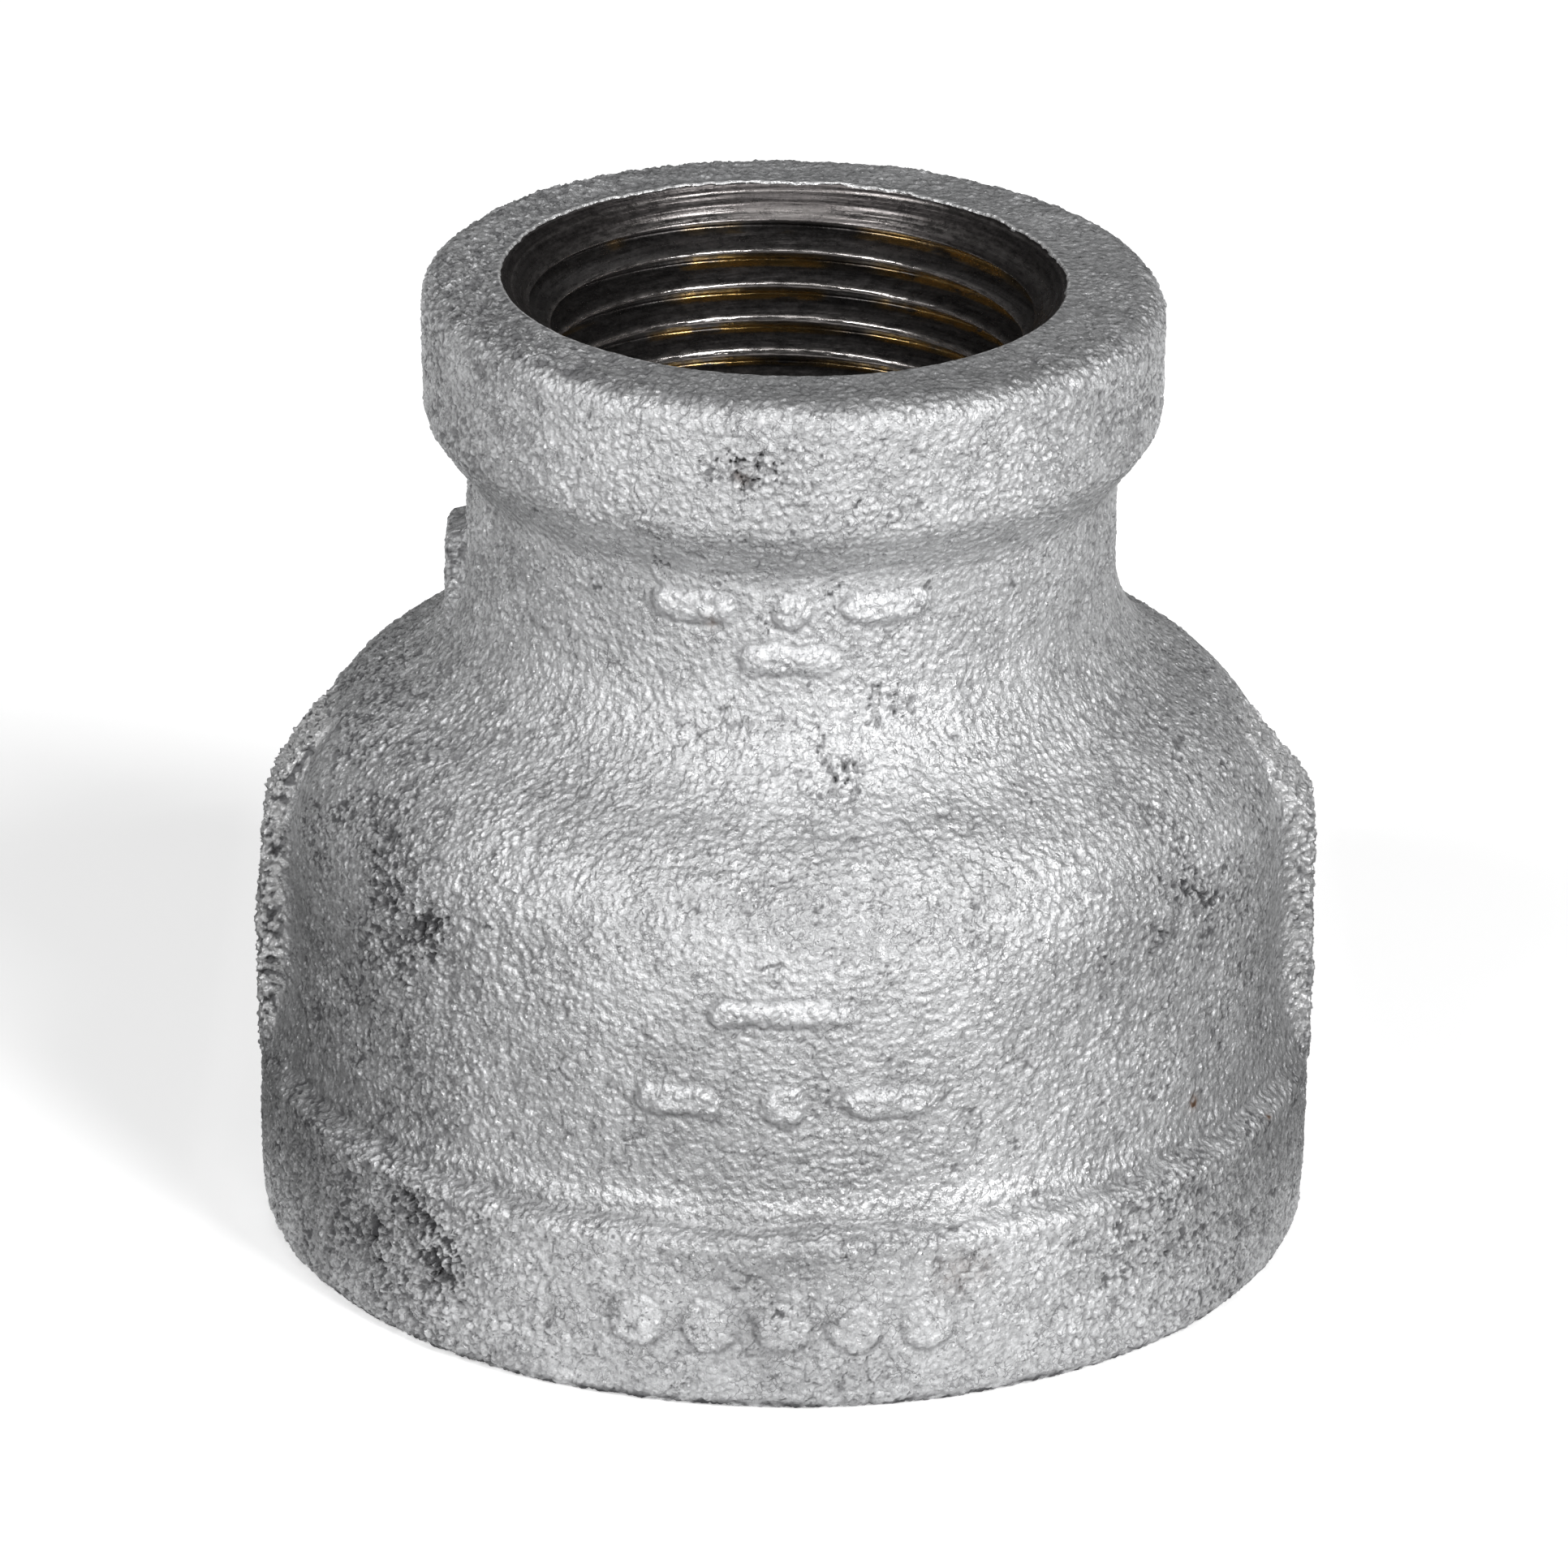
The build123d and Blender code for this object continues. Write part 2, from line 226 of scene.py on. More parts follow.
def grid_normals(p):
    """Outward normals of a grid whose columns wrap round."""
    dc = np.roll(p, -1, axis=1) - np.roll(p, 1, axis=1)
    dr = np.gradient(p, axis=0)
    n = np.cross(dc, dr)
    return n / np.maximum(np.linalg.norm(n, axis=2, keepdims=True), 1e-9)


ROW_STEP = 0.10
COLS = 1560


def rib_line(side):
    corner, radius, peak = RIB_TOPS[side]
    line = filleted([(17.0, 6.5), (RIB_R - 0.9, 6.5), (RIB_R, 8.4), corner, peak, (17.0, peak[1] + 0.4)], [0.4, 3.0, radius, 0.9], 0.05)
    keep = np.concatenate([[True], np.diff(line[:, 1]) > 1e-6])
    return line[keep]


RIB_LINES = {1: rib_line(1), -1: rib_line(-1)}
LUG_LINE = filleted([(14.0, LUG_LOW - 1.0), (LUG_R, LUG_LOW), (LUG_R, LUG_HIGH - 0.6), (14.0, LUG_HIGH + 0.6)], [0.5, 0.6], 0.05)


def box_union(rho, theta, x_box, half, k_max, k_rate, edge):
    """Polar outline of a circle of radius rho joined smoothly to a box |y| < half reaching x_box, towards theta = 0."""
    out = rho.copy()
    near = (np.abs(theta) < 0.42) & (x_box > rho + 0.01)
    if not near.any():
        return out
    r0, t, xb = rho[near], theta[near], x_box[near]
    k = np.clip((xb - r0) * k_rate, 0.03, k_max)
    lo, hi = r0 - 0.2, xb / np.cos(t) + 1.2
    ct, st = np.cos(t), np.abs(np.sin(t))
    for _ in range(22):
        mid = (lo + hi) / 2
        qx, qy = mid * ct - (xb - edge), mid * st - (half - edge)
        d_box = np.hypot(np.maximum(qx, 0), np.maximum(qy, 0)) + np.minimum(np.maximum(qx, qy), 0) - edge
        d_disc = mid - r0
        h = np.maximum(k - np.abs(d_disc - d_box), 0) / k
        d = np.minimum(d_disc, d_box) - h * h * k / 4
        inside = d < 0
        lo, hi = np.where(inside, mid, lo), np.where(inside, hi, mid)
    out[near] = (lo + hi) / 2
    return out


def column_angles(n):
    """Angles from -Y round, even along the bell's outline with its ribs, a little closer on the front."""
    t = np.linspace(-180, 180, 28801)                      # 0 is -Y
    dense = 0.76 + 0.24 * (1 - smoothstep(86, 100, np.abs(t)))
    extra = np.zeros_like(t)
    for side in (-90, 90):
        off = np.radians(t - side)
        rho = box_union(np.full(len(t), R_BELL), off, np.full(len(t), RIB_R), RIB_WIDTH / 2, 2.1, 1.15, 0.32)
        slope = np.gradient(rho, np.radians(t))
        extra = np.maximum(extra, np.hypot(rho, slope) / R_BELL)
    k = np.exp(-(np.arange(-30, 31) / 10.0) ** 2)
    extra = np.convolve(np.pad(extra, 30, mode="edge"), k / k.sum(), mode="valid")
    dense = dense * np.maximum(extra, 1.0)
    cum = np.concatenate([[0], np.cumsum((dense[1:] + dense[:-1]) / 2)])
    return np.radians(np.interp(np.arange(n) / n * cum[-1], cum, t) - 90)


THETA = column_angles(COLS)


def wrap(a):
    return (a + PI) % (2 * PI) - PI


def rib_wobble(z, seed, amp):
    return amp * fbm(np.stack([z / 2.6, z * 0 + 3.1, z * 0 + seed], -1), 2, seed)


def outside_grid(line, inset, angles=None):
    """Points (rows, columns, 3) of the body's outside with ribs and lug, along a profile line."""
    angles = THETA if angles is None else angles
    nr, nc = len(line), len(angles)
    r = np.repeat(line[:, 0:1], nc, 1)
    z = np.repeat(line[:, 1:2], nc, 1)
    th = np.repeat(angles[None, :], nr, 0)
    side_angle = np.minimum(np.abs(wrap(th)), np.abs(wrap(th - PI)))
    fill = R_BELL + 1.45 * (1 - smoothstep(8.4, 14.2, z)) - inset
    low_wall = ((line[:, 1] > 8.3) & (line[:, 1] < 14.4))[:, None]
    rho = np.where(low_wall, r + np.maximum(fill - r, 0) * np.exp(-(side_angle / 0.42) ** 2), r)
    wall = (line[:, 1] > 6.6 + inset) & (line[:, 1] < 28.3 - inset)
    for side, base in ((1, 0.0), (-1, PI)):
        rl = RIB_LINES[side]
        xb = np.interp(z, rl[:, 1], rl[:, 0], left=0, right=0) - inset
        if side < 0:
            xb = xb - 0.34 * smoothstep(15.5, 18.5, z) * (1 - smoothstep(23.5, 26.5, z))
        xb = np.where(wall[:, None], xb, 0)
        half = RIB_WIDTH / 2 - inset
        rho = box_union(rho, wrap(th - base), xb, half, 2.1, 1.15, 0.32)
    xb = np.interp(z, LUG_LINE[:, 1], LUG_LINE[:, 0], left=0, right=0) - inset
    xb = np.where((line[:, 1] < 38)[:, None], xb, 0)
    rho = box_union(rho, wrap(th - PI), xb, LUG_WIDTH / 2 - inset, 0.7, 0.8, 0.3)
    return np.stack([rho * np.cos(th), rho * np.sin(th), z], -1), r, th


# ---------------------------------------------------------------- raised marks: plain bars and dots
MARKS = [(-107, 38.2, R_NECK, 4.4, 1.5), (-90, 38.2, R_NECK, 1.8, 1.8), (-73, 38.2, R_NECK, 4.4, 1.5),
         (-90, 35.6, R_NECK, 5.0, 1.4), (-90, 20.6, R_BELL, 7.4, 1.3),
         (-102, 15.8, R_BELL, 4.2, 1.5), (-90, 15.8, R_BELL, 2.2, 2.2), (-78, 15.8, R_BELL, 4.6, 1.5)]
MARKS += [(-90 + a, 4.6, R_LARGE_BAND, 2.7, 2.7) for a in (-15.6, -7.8, 0.0, 7.8, 15.6)]


def mark_field(p, th):
    """(0 to 1 height of the marks, 0 to 1 thin outline at their foot, heavier on the lower left, also used for painted
    shade), with worn, uneven edges.
    """
    top, foot = np.zeros(len(p)), np.zeros(len(p))
    edge = 0.22 * fbm(p / 0.9, 3, 61)
    for angle, z0, radius, width, height in MARKS:
        da = wrap(th - math.radians(angle))
        s, t = da * radius, p[:, 2] - z0
        near = (np.abs(s) < width / 2 + 1.2) & (np.abs(t) < height / 2 + 1.2)
        if not near.any():
            continue
        half = max(width - height, 0) / 2
        d = np.hypot(np.maximum(np.abs(s[near]) - half, 0), t[near]) - height / 2 + edge[near]
        top[near] = np.maximum(top[near], 1 - smoothstep(-0.42, 0.10, d))
        foot[near] = np.maximum(foot[near], np.exp(-((d - 0.12) / 0.13) ** 2) * (0.45 + 0.55 * smoothstep(0.2, -0.6, t[near] + 0.4 * s[near])))
    return top, foot


# ---------------------------------------------------------------- pits and flaws of this casting: (x, y, z) mm, radius, depth, darkness
PITS = []


def pit_cluster(centre, spread, count, size, depth, seed, shade=(0.45, 1.0)):
    r = np.random.default_rng(seed)
    for _ in range(int(count * 2.6)):
        off = r.normal(0, 1, 3) * spread * 1.1
        PITS.append((np.array(centre) + off, size * r.uniform(0.35, 1.15), depth * r.uniform(0.6, 1.3), r.uniform(*shade)))


pit_cluster((-19.48, -15.34, 22.77), 0.75, 16, 0.22, 0.10, 1)
pit_cluster((-17.81, -17.44, 21.60), 0.70, 15, 0.24, 0.10, 2)
pit_cluster((-18.65, -16.65, 19.87), 0.55, 8, 0.20, 0.09, 3)
pit_cluster((-19.94, -13.34, 24.95), 0.60, 8, 0.22, 0.08, 4)
pit_cluster((-18.21, -19.45, 7.10), 0.55, 18, 0.24, 0.12, 5)
pit_cluster((-16.98, -20.53, 4.97), 0.60, 12, 0.24, 0.11, 6)
pit_cluster((-19.90, -17.73, 4.95), 0.55, 9, 0.22, 0.10, 7)
pit_cluster((18.82, -16.43, 21.45), 0.30, 4, 0.24, 0.10, 8)
pit_cluster((20.89, -13.50, 22.38), 0.70, 11, 0.20, 0.09, 9)
pit_cluster((19.62, -14.70, 23.75), 0.60, 7, 0.20, 0.09, 10)
pit_cluster((1.19, -17.43, 31.19), 0.85, 9, 0.20, 0.06, 11, (0.2, 0.6))
pit_cluster((2.78, -18.04, 30.18), 0.60, 6, 0.22, 0.07, 12, (0.2, 0.7))
pit_cluster((4.93, -15.82, 33.13), 0.50, 5, 0.24, 0.09, 13, (0.2, 0.65))
pit_cluster((-1.97, -17.18, 31.48), 0.80, 5, 0.20, 0.06, 14, (0.2, 0.6))
pit_cluster((-2.60, -18.25, 46.20), np.array([0.95, 0.2, 0.35]), 9, 0.22, 0.08, 15, (0.25, 0.8))
pit_cluster((9.00, -24.9, 6.60), 1.00, 5, 0.20, 0.06, 16, (0.2, 0.6))
pit_cluster((17.5, -20.1, 6.20), 1.10, 9, 0.20, 0.07, 26, (0.3, 0.9))
pit_cluster((20.5, -17.0, 4.80), 1.10, 9, 0.20, 0.07, 27, (0.3, 0.9))
pit_cluster((-8.50, 15.9, 45.0), 0.80, 14, 0.24, 0.10, 17)
pit_cluster((11.0, 22.4, 17.0), 1.30, 26, 0.24, 0.10, 18)
pit_cluster((-21.0, 14.0, 13.0), 1.20, 18, 0.24, 0.10, 19)
pit_cluster((20.5, 13.0, 25.0), 1.10, 16, 0.24, 0.10, 20)
pit_cluster((3.0, 26.5, 5.0), 1.20, 18, 0.24, 0.10, 21)
for _c, _n, _seed in (((-19.48, -15.34, 22.77), 2, 31), ((-17.81, -17.44, 21.60), 3, 32), ((-18.21, -19.45, 7.10), 3, 33), ((-16.98, -20.53, 4.97), 2, 34),
                     ((-19.90, -17.73, 4.95), 1, 35), ((20.89, -13.50, 22.38), 2, 36), ((19.62, -14.70, 23.75), 1, 37), ((-19.94, -13.34, 24.95), 1, 38),
                     ((11.0, 22.4, 17.0), 3, 39), ((-21.0, 14.0, 13.0), 2, 40)):
    pit_cluster(_c, 0.55, _n, 0.42, 0.13, _seed, (0.85, 1.0))
_r = np.random.default_rng(77)
for _ in range(210):                                       # scattered pinholes all over
    a = _r.uniform(-PI, PI)
    zz = _r.uniform(1.0, 48.5)
    PITS.append((np.array([a, zz, 0.0]), _r.uniform(0.10, 0.20), _r.uniform(0.04, 0.09), _r.uniform(0.4, 0.9), "polar"))


def add_pits(base, th, h, flaws_and_shade):
    """Sinks pits into h and darkens them."""
    nr, nc, _ = base.shape
    zrow = base[:, 0, 2]
    ragged = fbm(base.reshape(-1, 3) / 0.33, 2, 81).reshape(nr, nc)
    for pit in PITS:
        c, size, depth, shade = pit[:4]
        if len(pit) == 5:
            j0 = int(np.argmin(np.abs(zrow - c[1])))
            i0 = int(np.argmin(np.abs(wrap(THETA - c[0]))))
        else:
            a = math.atan2(c[1], c[0])
            j0 = int(np.argmin(np.abs(zrow - c[2]) + np.abs(np.hypot(base[:, 0, 0], base[:, 0, 1]) - math.hypot(c[0], c[1])) * 0.3))
            i0 = int(np.argmin(np.abs(wrap(THETA - a))))
        rows = np.clip(np.arange(j0 - 8, j0 + 9), 0, nr - 1)
        rows = np.unique(rows)
        cols = np.arange(i0 - 8, i0 + 9) % nc
        patch = base[np.ix_(rows, cols)]
        d = np.linalg.norm(patch - base[j0, i0], axis=2)
        d = d * (1 + 1.5 * ragged[np.ix_(rows, cols)])
        w = np.clip(1 - (d / size) ** 2, 0, 1) ** 1.2
        h[np.ix_(rows, cols)] -= depth * w
        flaws_and_shade[np.ix_(rows, cols)] = np.maximum(flaws_and_shade[np.ix_(rows, cols)], shade * np.clip(w * 4.0, 0, 1))


def blob(base, centre, radius):
    return np.exp(-(np.linalg.norm(base - np.array(centre), axis=-1) / radius) ** 2)


# painted light patches, lightening the zinc's colour: (x, y, z) mm, radius, how much lighter
PAINTED_LIGHT_PATCHES = [((22.5, -11.5, 15.5), 5.0, 0.24), ((11.5, -22.3, 11.0), 4.5, 0.12), ((-17.0, -18.5, 16.5), 6.0, 0.10), ((-22.0, -11.0, 15.5), 4.0, 0.12), ((17.0, -18.5, 15.0), 5.0, 0.08)]
ROUGH_PATCHES = [((12.1, -13.9, 45.3), 2.4, 1.3), ((8.6, -16.3, 44.6), 2.0, 0.8), ((-1.6, -18.4, 45.9), 2.6, 0.7), ((0.0, -26.6, 4.0), 7.0, 1.0),
                 ((-17.0, -20.0, 5.0), 6.0, 0.7), ((-16.0, -17.0, 22.0), 5.0, 0.35), ((16.0, -21.0, 4.5), 6.5, 0.8), ((-13.0, -12.5, 46.0), 3.5, 0.5),
                 ((4.0, -16.5, 37.5), 2.6, 0.4), ((6.0, 25.5, 4.5), 6.0, 0.5), ((-10.0, 15.0, 46.0), 3.0, 0.8), ((18.0, 17.0, 15.0), 5.0, 0.4)]
# painted shade patches, darkening the zinc's colour: (x, y, z) mm, radius, how much darker
PAINTED_SHADE_PATCHES = [((-23.0, -13.5, 4.5), 7.5, 0.47), ((0.0, -26.6, 5.0), 8.5, 0.31), ((0.0, -18.4, 46.0), 7.0, 0.13), ((-16.0, -9.5, 46.0), 5.0, 0.14), ((0.0, -22.5, 26.2), 6.5, 0.14), ((23.0, -13.5, 3.5), 7.5, 0.24),
           ((16.0, -9.2, 46.0), 5.5, 0.22), ((-14.0, -22.0, 3.0), 6.0, 0.20), ((-21.5, -12.5, 28.0), 3.5, 0.12), ((12.0, 21.0, 20.0), 8.0, 0.22),
           ((-20.0, 17.0, 5.0), 7.0, 0.25), ((14.0, 12.0, 45.0), 5.0, 0.15)]


# ---------------------------------------------------------------- outside zinc skin
def top_edge_radius(th, h):
    """Where the small chamfer meets the uneven, slightly tilted face."""
    return CHAMFER_S + h - np.cos(th) * CHAMFER_S * FACE_TILT


def bottom_edge_radius(h):
    return CHAMFER_L - h


def face_heights(th):
    """Uneven height of the small face at its inner edge, mm."""
    p = np.stack([np.cos(th) * CHAMFER_S, np.sin(th) * CHAMFER_S, th * 0 + LENGTH], -1)
    return 0.07 * fbm(p / 2.4, 3, 91) + 0.05 * fbm(p / 0.7, 2, 92)


def outside_mesh():
    line, s = resample(outer_line(0.0), ROW_STEP)
    base, r_line, th = outside_grid(line, 0.0)
    nr, nc, _ = base.shape
    n = grid_normals(base)
    flat = base.reshape(-1, 3)
    tf = th.reshape(-1)
    z, rad = flat[:, 2], np.hypot(flat[:, 0], flat[:, 1])

    # how rough: hollows beside ribs and under the bands are filled smoother by the zinc
    side_rib = np.minimum(np.abs(wrap(tf)), np.abs(wrap(tf - PI)))
    rib_near = 1 - smoothstep(5.0, 10.0, side_rib * 25)
    hollow = np.exp(-((side_rib * 25 - 4.0) / 1.0) ** 2) * smoothstep(9.5, 11.5, z) * (1 - smoothstep(24.5, 27.5, z))
    under = np.exp(-((z - 39.9) / 0.9) ** 2) * (rad < 17.6)
    bowl = np.exp(-((z - 10.4) / 0.8) ** 2) * (rad > 24)
    rib_face = (1 - smoothstep(2.6, 3.4, side_rib * 26)) * smoothstep(9.3, 10.3, z) * (1 - smoothstep(26, 27, z))
    topface = smoothstep(48.9, 49.5, z)
    neck_foot = np.exp(-((z - 32.6) / 2.0) ** 2) * (0.55 + 0.45 * blob(flat, (6.7, -16.5, 32.2), 6.0))
    fillet = np.exp(-((z - 10.9) / 0.9) ** 2) * (rad > 24) * (1 - rib_near)
    rough = 1 - 0.62 * hollow - 0.50 * under - 0.30 * bowl - 0.50 * fillet
    rough = rough - 0.32 * fillet * blob(flat, (8.0, -24.0, 10.8), 7.0)
    rough = rough * (1 + 0.85 * rib_face + 0.25 * topface) * (1 - 0.68 * neck_foot)
    # creased patches and shallow dents: (x, y, z) mm, radius, how much rougher
    for c, rad_, a in ROUGH_PATCHES:
        rough = rough * (1 + a * blob(flat, c, rad_))
    patchy = fbm(flat / 6.0, 2, 5)
    rough = rough * (1 + 0.35 * patchy)
    rough = rough * (0.84 + 0.55 * smoothstep(6.0, 19.0, -flat[:, 0]) + 0.25 * smoothstep(9.0, 20.0, flat[:, 0]))

    # grain: warped rounded lumps with thin valleys, on slower undulation
    warp = np.stack([fbm(flat / 1.3 + 7.0 * i, 2, 30 + i) for i in range(3)], -1)
    q = flat + 0.24 * warp
    f1, f2, who = cells(q / 0.50, 40)
    lump = 0.55 * smoothstep(0.0, 0.26, f2 - f1) + 0.45 * (1 - np.clip(f1 / 0.85, 0, 1) ** 2)
    crease = np.clip(1 - (f2 - f1) / 0.17, 0, 1)
    g1, g2, who2 = cells(q / 0.26 + 5.0, 44)
    small = 1 - np.clip(g1 / 0.80, 0, 1) ** 2
    fine = noise3(flat / 0.21, 50)
    mid = fbm(q / 1.15, 2, 55)
    slow = fbm(flat / 7.0, 2, 58)
    h = 0.085 * slow + rough * (0.046 * mid + 0.072 * (lump - 0.5) * (0.35 + 1.2 * who) + 0.058 * (small - 0.5) + 0.036 * fine)
    h -= 0.020 * crease * rough + 0.072
    h -= 0.13 * (1 - smoothstep(0.6, 3.2, z)) * (rad > 26)
    flank = smoothstep(9.0, 21.0, np.abs(flat[:, 0])) * (1 - topface)
    # painted shade: the creases and the valleys between small lumps are darkened in colour, more on the part's sides
    flaws_and_shade = np.clip(crease * (0.3 + who) * (0.26 + 0.45 * flank) + (0.05 + 0.30 * flank) * (1 - small) * (who2 > 0.5), 0, 1)
    specks = smoothstep(0.10, 0.19, fbm(flat / 0.40, 3, 57) - 0.10 * (1 - smoothstep(4.0, -14.0, flat[:, 0]))) * (0.25 + 0.75 * flank) * smoothstep(-0.20, 0.25, fbm(flat / 3.2, 2, 59) + 0.14 * (flat[:, 0] < 0))
    specks = specks * (1 - 0.8 * hollow) * (1 - topface)
    h -= 0.045 * specks
    flaws_and_shade = np.maximum(flaws_and_shade, 0.9 * specks)
    scab = smoothstep(0.06, 0.26, fbm(flat / 0.48, 3, 49))
    left_top = topface * (0.25 + 0.75 * smoothstep(2.0, -12.0, flat[:, 0]))
    harsh = np.clip(rib_face * (0.60 + 0.4 * (flat[:, 0] < 0)) + 0.9 * left_top, 0, 1)
    scab = np.where(topface > 0.5, smoothstep(0.0, 0.20, fbm(flat / np.array([0.55, 0.55, 1.0]), 3, 46)), scab)
    h -= 0.07 * scab * harsh
    flaws_and_shade = np.maximum(flaws_and_shade, 0.85 * scab * harsh)
    # short cracks in the skin
    c1, c2, cw = cells(flat / 1.5 + 0.35 * warp, 47)
    crack = np.clip(1 - (c2 - c1) / 0.055, 0, 1) * smoothstep(0.05, 0.35, fbm(flat / 2.1, 2, 48))
    h -= 0.05 * crack
    flaws_and_shade = np.maximum(flaws_and_shade, 0.9 * crack)

    lip = np.where(rad > 24.5, 1.0, 0.0) * (1 - rib_near)
    wave = 0.25 * fbm(flat * np.array([0.22, 0.22, 0.0]), 2, 87)
    h -= lip * 0.21 * np.exp(-((z + wave - 9.72) / 0.26) ** 2)
    h += lip * 0.07 * np.exp(-((z + wave - 8.75) / 0.40) ** 2)
    # painted shade: a dark line in the groove just above the large band's edge
    flaws_and_shade = np.maximum(flaws_and_shade, lip * 0.50 * np.exp(-((z + wave - 9.66) / 0.10) ** 2) * (0.5 + patchy))

    # marks
    top, foot = mark_field(flat, tf)
    h += (0.36 - 0.13 * (z < 8)) * top * (0.86 + 0.45 * fbm(flat / 0.6, 2, 63)) - 0.05 * foot
    # painted shade along the foot of the marks
    flaws_and_shade = np.maximum(flaws_and_shade, 0.55 * foot)

    # darker along the bottom rim of the large band, against the floor
    foot_edge = (1 - smoothstep(0.10, 0.75, z)) * (rad > 25.5)
    flaws_and_shade = np.maximum(flaws_and_shade, foot_edge * np.clip(0.75 + 1.2 * fbm(flat / 0.8, 2, 64), 0, 1))
    h, flaws_and_shade = h.reshape(nr, nc), flaws_and_shade.reshape(nr, nc)
    add_pits(base, th, h, flaws_and_shade)

    # faces: the large one only gives way inward; the small one is displaced along Z and tilted
    k_bottom = (1 - smoothstep(0.02, 0.5, base[..., 2])) * (n[..., 2] < -0.2)
    h = h * (1 - k_bottom) + k_bottom * -np.abs(h * 0.8 + 0.02)
    pos = base + n * h[..., None]
    hf = face_heights(THETA)
    k_in = np.clip(1 - (r_line - CHAMFER_S) / 0.7, 0, 1) * (line[:, 1] > 49)[:, None]
    top_z = (line[:, 1] > LENGTH - 0.001)[:, None] * np.ones_like(h)
    pos[..., 2] = np.where(top_z > 0, LENGTH + (h * 0.9) * (1 - k_in) + hf[None, :] * k_in, pos[..., 2])
    # tilt of the small face, fading out down the band
    tilt = smoothstep(43.5, 49.0, base[..., 2])
    pos[..., 2] += -base[..., 0] * FACE_TILT * tilt
    # last row lies on the chamfer cone
    edge_t = top_edge_radius(THETA, hf)
    stretch = np.clip((17.0 - r_line) / (17.0 - CHAMFER_S), 0, 1) * (line[:, 1] > 49)[:, None]
    rr = np.hypot(pos[..., 0], pos[..., 1])
    new_r = rr + (edge_t[None, :] - CHAMFER_S) * stretch
    pos[..., 0] *= new_r / rr
    pos[..., 1] *= new_r / rr
    pos[..., 0] += BORE_SHIFT * stretch
    low_h = np.maximum(-h[0], 0)
    edge_b = bottom_edge_radius(low_h)
    k0 = np.clip(1 - (r_line - CHAMFER_L) / 1.0, 0, 1) * (line[:, 1] < 0.01)[:, None]
    rr = np.hypot(pos[..., 0], pos[..., 1])
    new_r = rr + (edge_b[None, :] - CHAMFER_L) * k0
    pos[..., 0] *= new_r / rr
    pos[..., 1] *= new_r / rr
    pos[..., 2] = np.maximum(pos[..., 2], 0.0)

    # the cut edge of the skin on each chamfer, then back along the inside of the skin
    thick = 0.12 + 0.05 * fbm(np.stack([np.cos(THETA) * 6, np.sin(THETA) * 6, THETA * 0], -1), 2, 93)
    cut_t = pos[-1].copy()
    c0 = cut_t[:, 0] - BORE_SHIFT
    rr = np.hypot(c0, cut_t[:, 1])
    cut_t[:, 0] = c0 * (rr - thick) / rr + BORE_SHIFT
    cut_t[:, 1] *= (rr - thick) / rr
    cut_t[:, 2] -= thick
    cut_b = pos[0].copy()
    rr = np.hypot(cut_b[:, 0], cut_b[:, 1])
    cut_b[:, 0] *= (rr - 0.12) / rr
    cut_b[:, 1] *= (rr - 0.12) / rr
    cut_b[:, 2] += 0.12
    inner_line, _ = resample(outer_line(0.45), 0.7)
    inner_line = inner_line[1:-1]
    inner, _, _ = outside_grid(inner_line, 0.45)
    lift = smoothstep(43.5, 49.0, inner[..., 2])
    inner[..., 2] += -inner[..., 0] * FACE_TILT * lift
    grid = np.concatenate([pos, cut_t[None], inner[::-1], cut_b[None]], 0)
    m = len(inner) + 2
    flaws_and_shade_all = np.concatenate([flaws_and_shade, np.zeros((m, nc))], 0)
    cut_edge_and_rib_light = np.zeros((nr + m, nc))
    cut_edge_and_rib_light[nr - 1] = 0.6
    cut_edge_and_rib_light[nr] = 1.0
    cut_edge_and_rib_light[-1] = 1.0
    cut_edge_and_rib_light[0] = 0.6
    high = np.concatenate([h, np.zeros((m, nc))], 0)
    rust = np.zeros((nr, nc))
    for c, rad_, a in (((20.30, -14.58, 11.43), 0.42, 1.0), ((24.35, -10.49, 8.93), 0.22, 0.9), ((-3.8, -15.8, 37.51), 0.40, 0.45),
                       ((8.57, -25.23, 7.02), 1.1, 0.28), ((9.6, -24.9, 7.2), 0.9, 0.25), ((-2.46, -18.28, 45.88), 0.5, 0.30),
                       ((-12.0, 22.0, 12.0), 0.7, 0.6), ((19.0, 16.0, 9.2), 0.5, 0.8)):
        rust = np.maximum(rust, a * blob(base, c, rad_))
    rust = rust * (0.5 + 0.9 * smoothstep(-0.2, 0.35, fbm(flat / 0.45, 2, 71)).reshape(nr, nc))
    rust_all = np.concatenate([rust, np.zeros((m, nc))], 0)
    tops = np.concatenate([topface.reshape(nr, nc), np.ones((m, nc))], 0)
    smooth_zinc = np.maximum(fillet * (0.45 + 0.75 * blob(flat, (8.0, -24.0, 10.8), 7.0)), 0.50 * neck_foot).reshape(nr, nc)
    # painted light: the rib faces, where not scabbed, are lightened through the cut-edge mask
    painted_rib_light = (rib_face * (1 - scab) * (0.55 + 0.3 * (flat[:, 0] < 0))).reshape(nr, nc)
    cut_edge_and_rib_light[:nr] = np.maximum(cut_edge_and_rib_light[:nr], 0.80 * painted_rib_light)
    # painted shade on the zinc's colour, in patches: (x, y, z) mm, radius, how much darker
    painted_shading = np.zeros((nr, nc))
    for c, rad_, a in PAINTED_SHADE_PATCHES:
        painted_shading = np.maximum(painted_shading, a * blob(base, c, rad_))
    painted_shading = painted_shading * (0.8 + 0.5 * fbm(flat / 2.3, 3, 75)).reshape(nr, nc)
    # painted light: patches where the colour is lightened instead
    for c, rad_, a in PAINTED_LIGHT_PATCHES:
        painted_shading = painted_shading - a * blob(base, c, rad_)
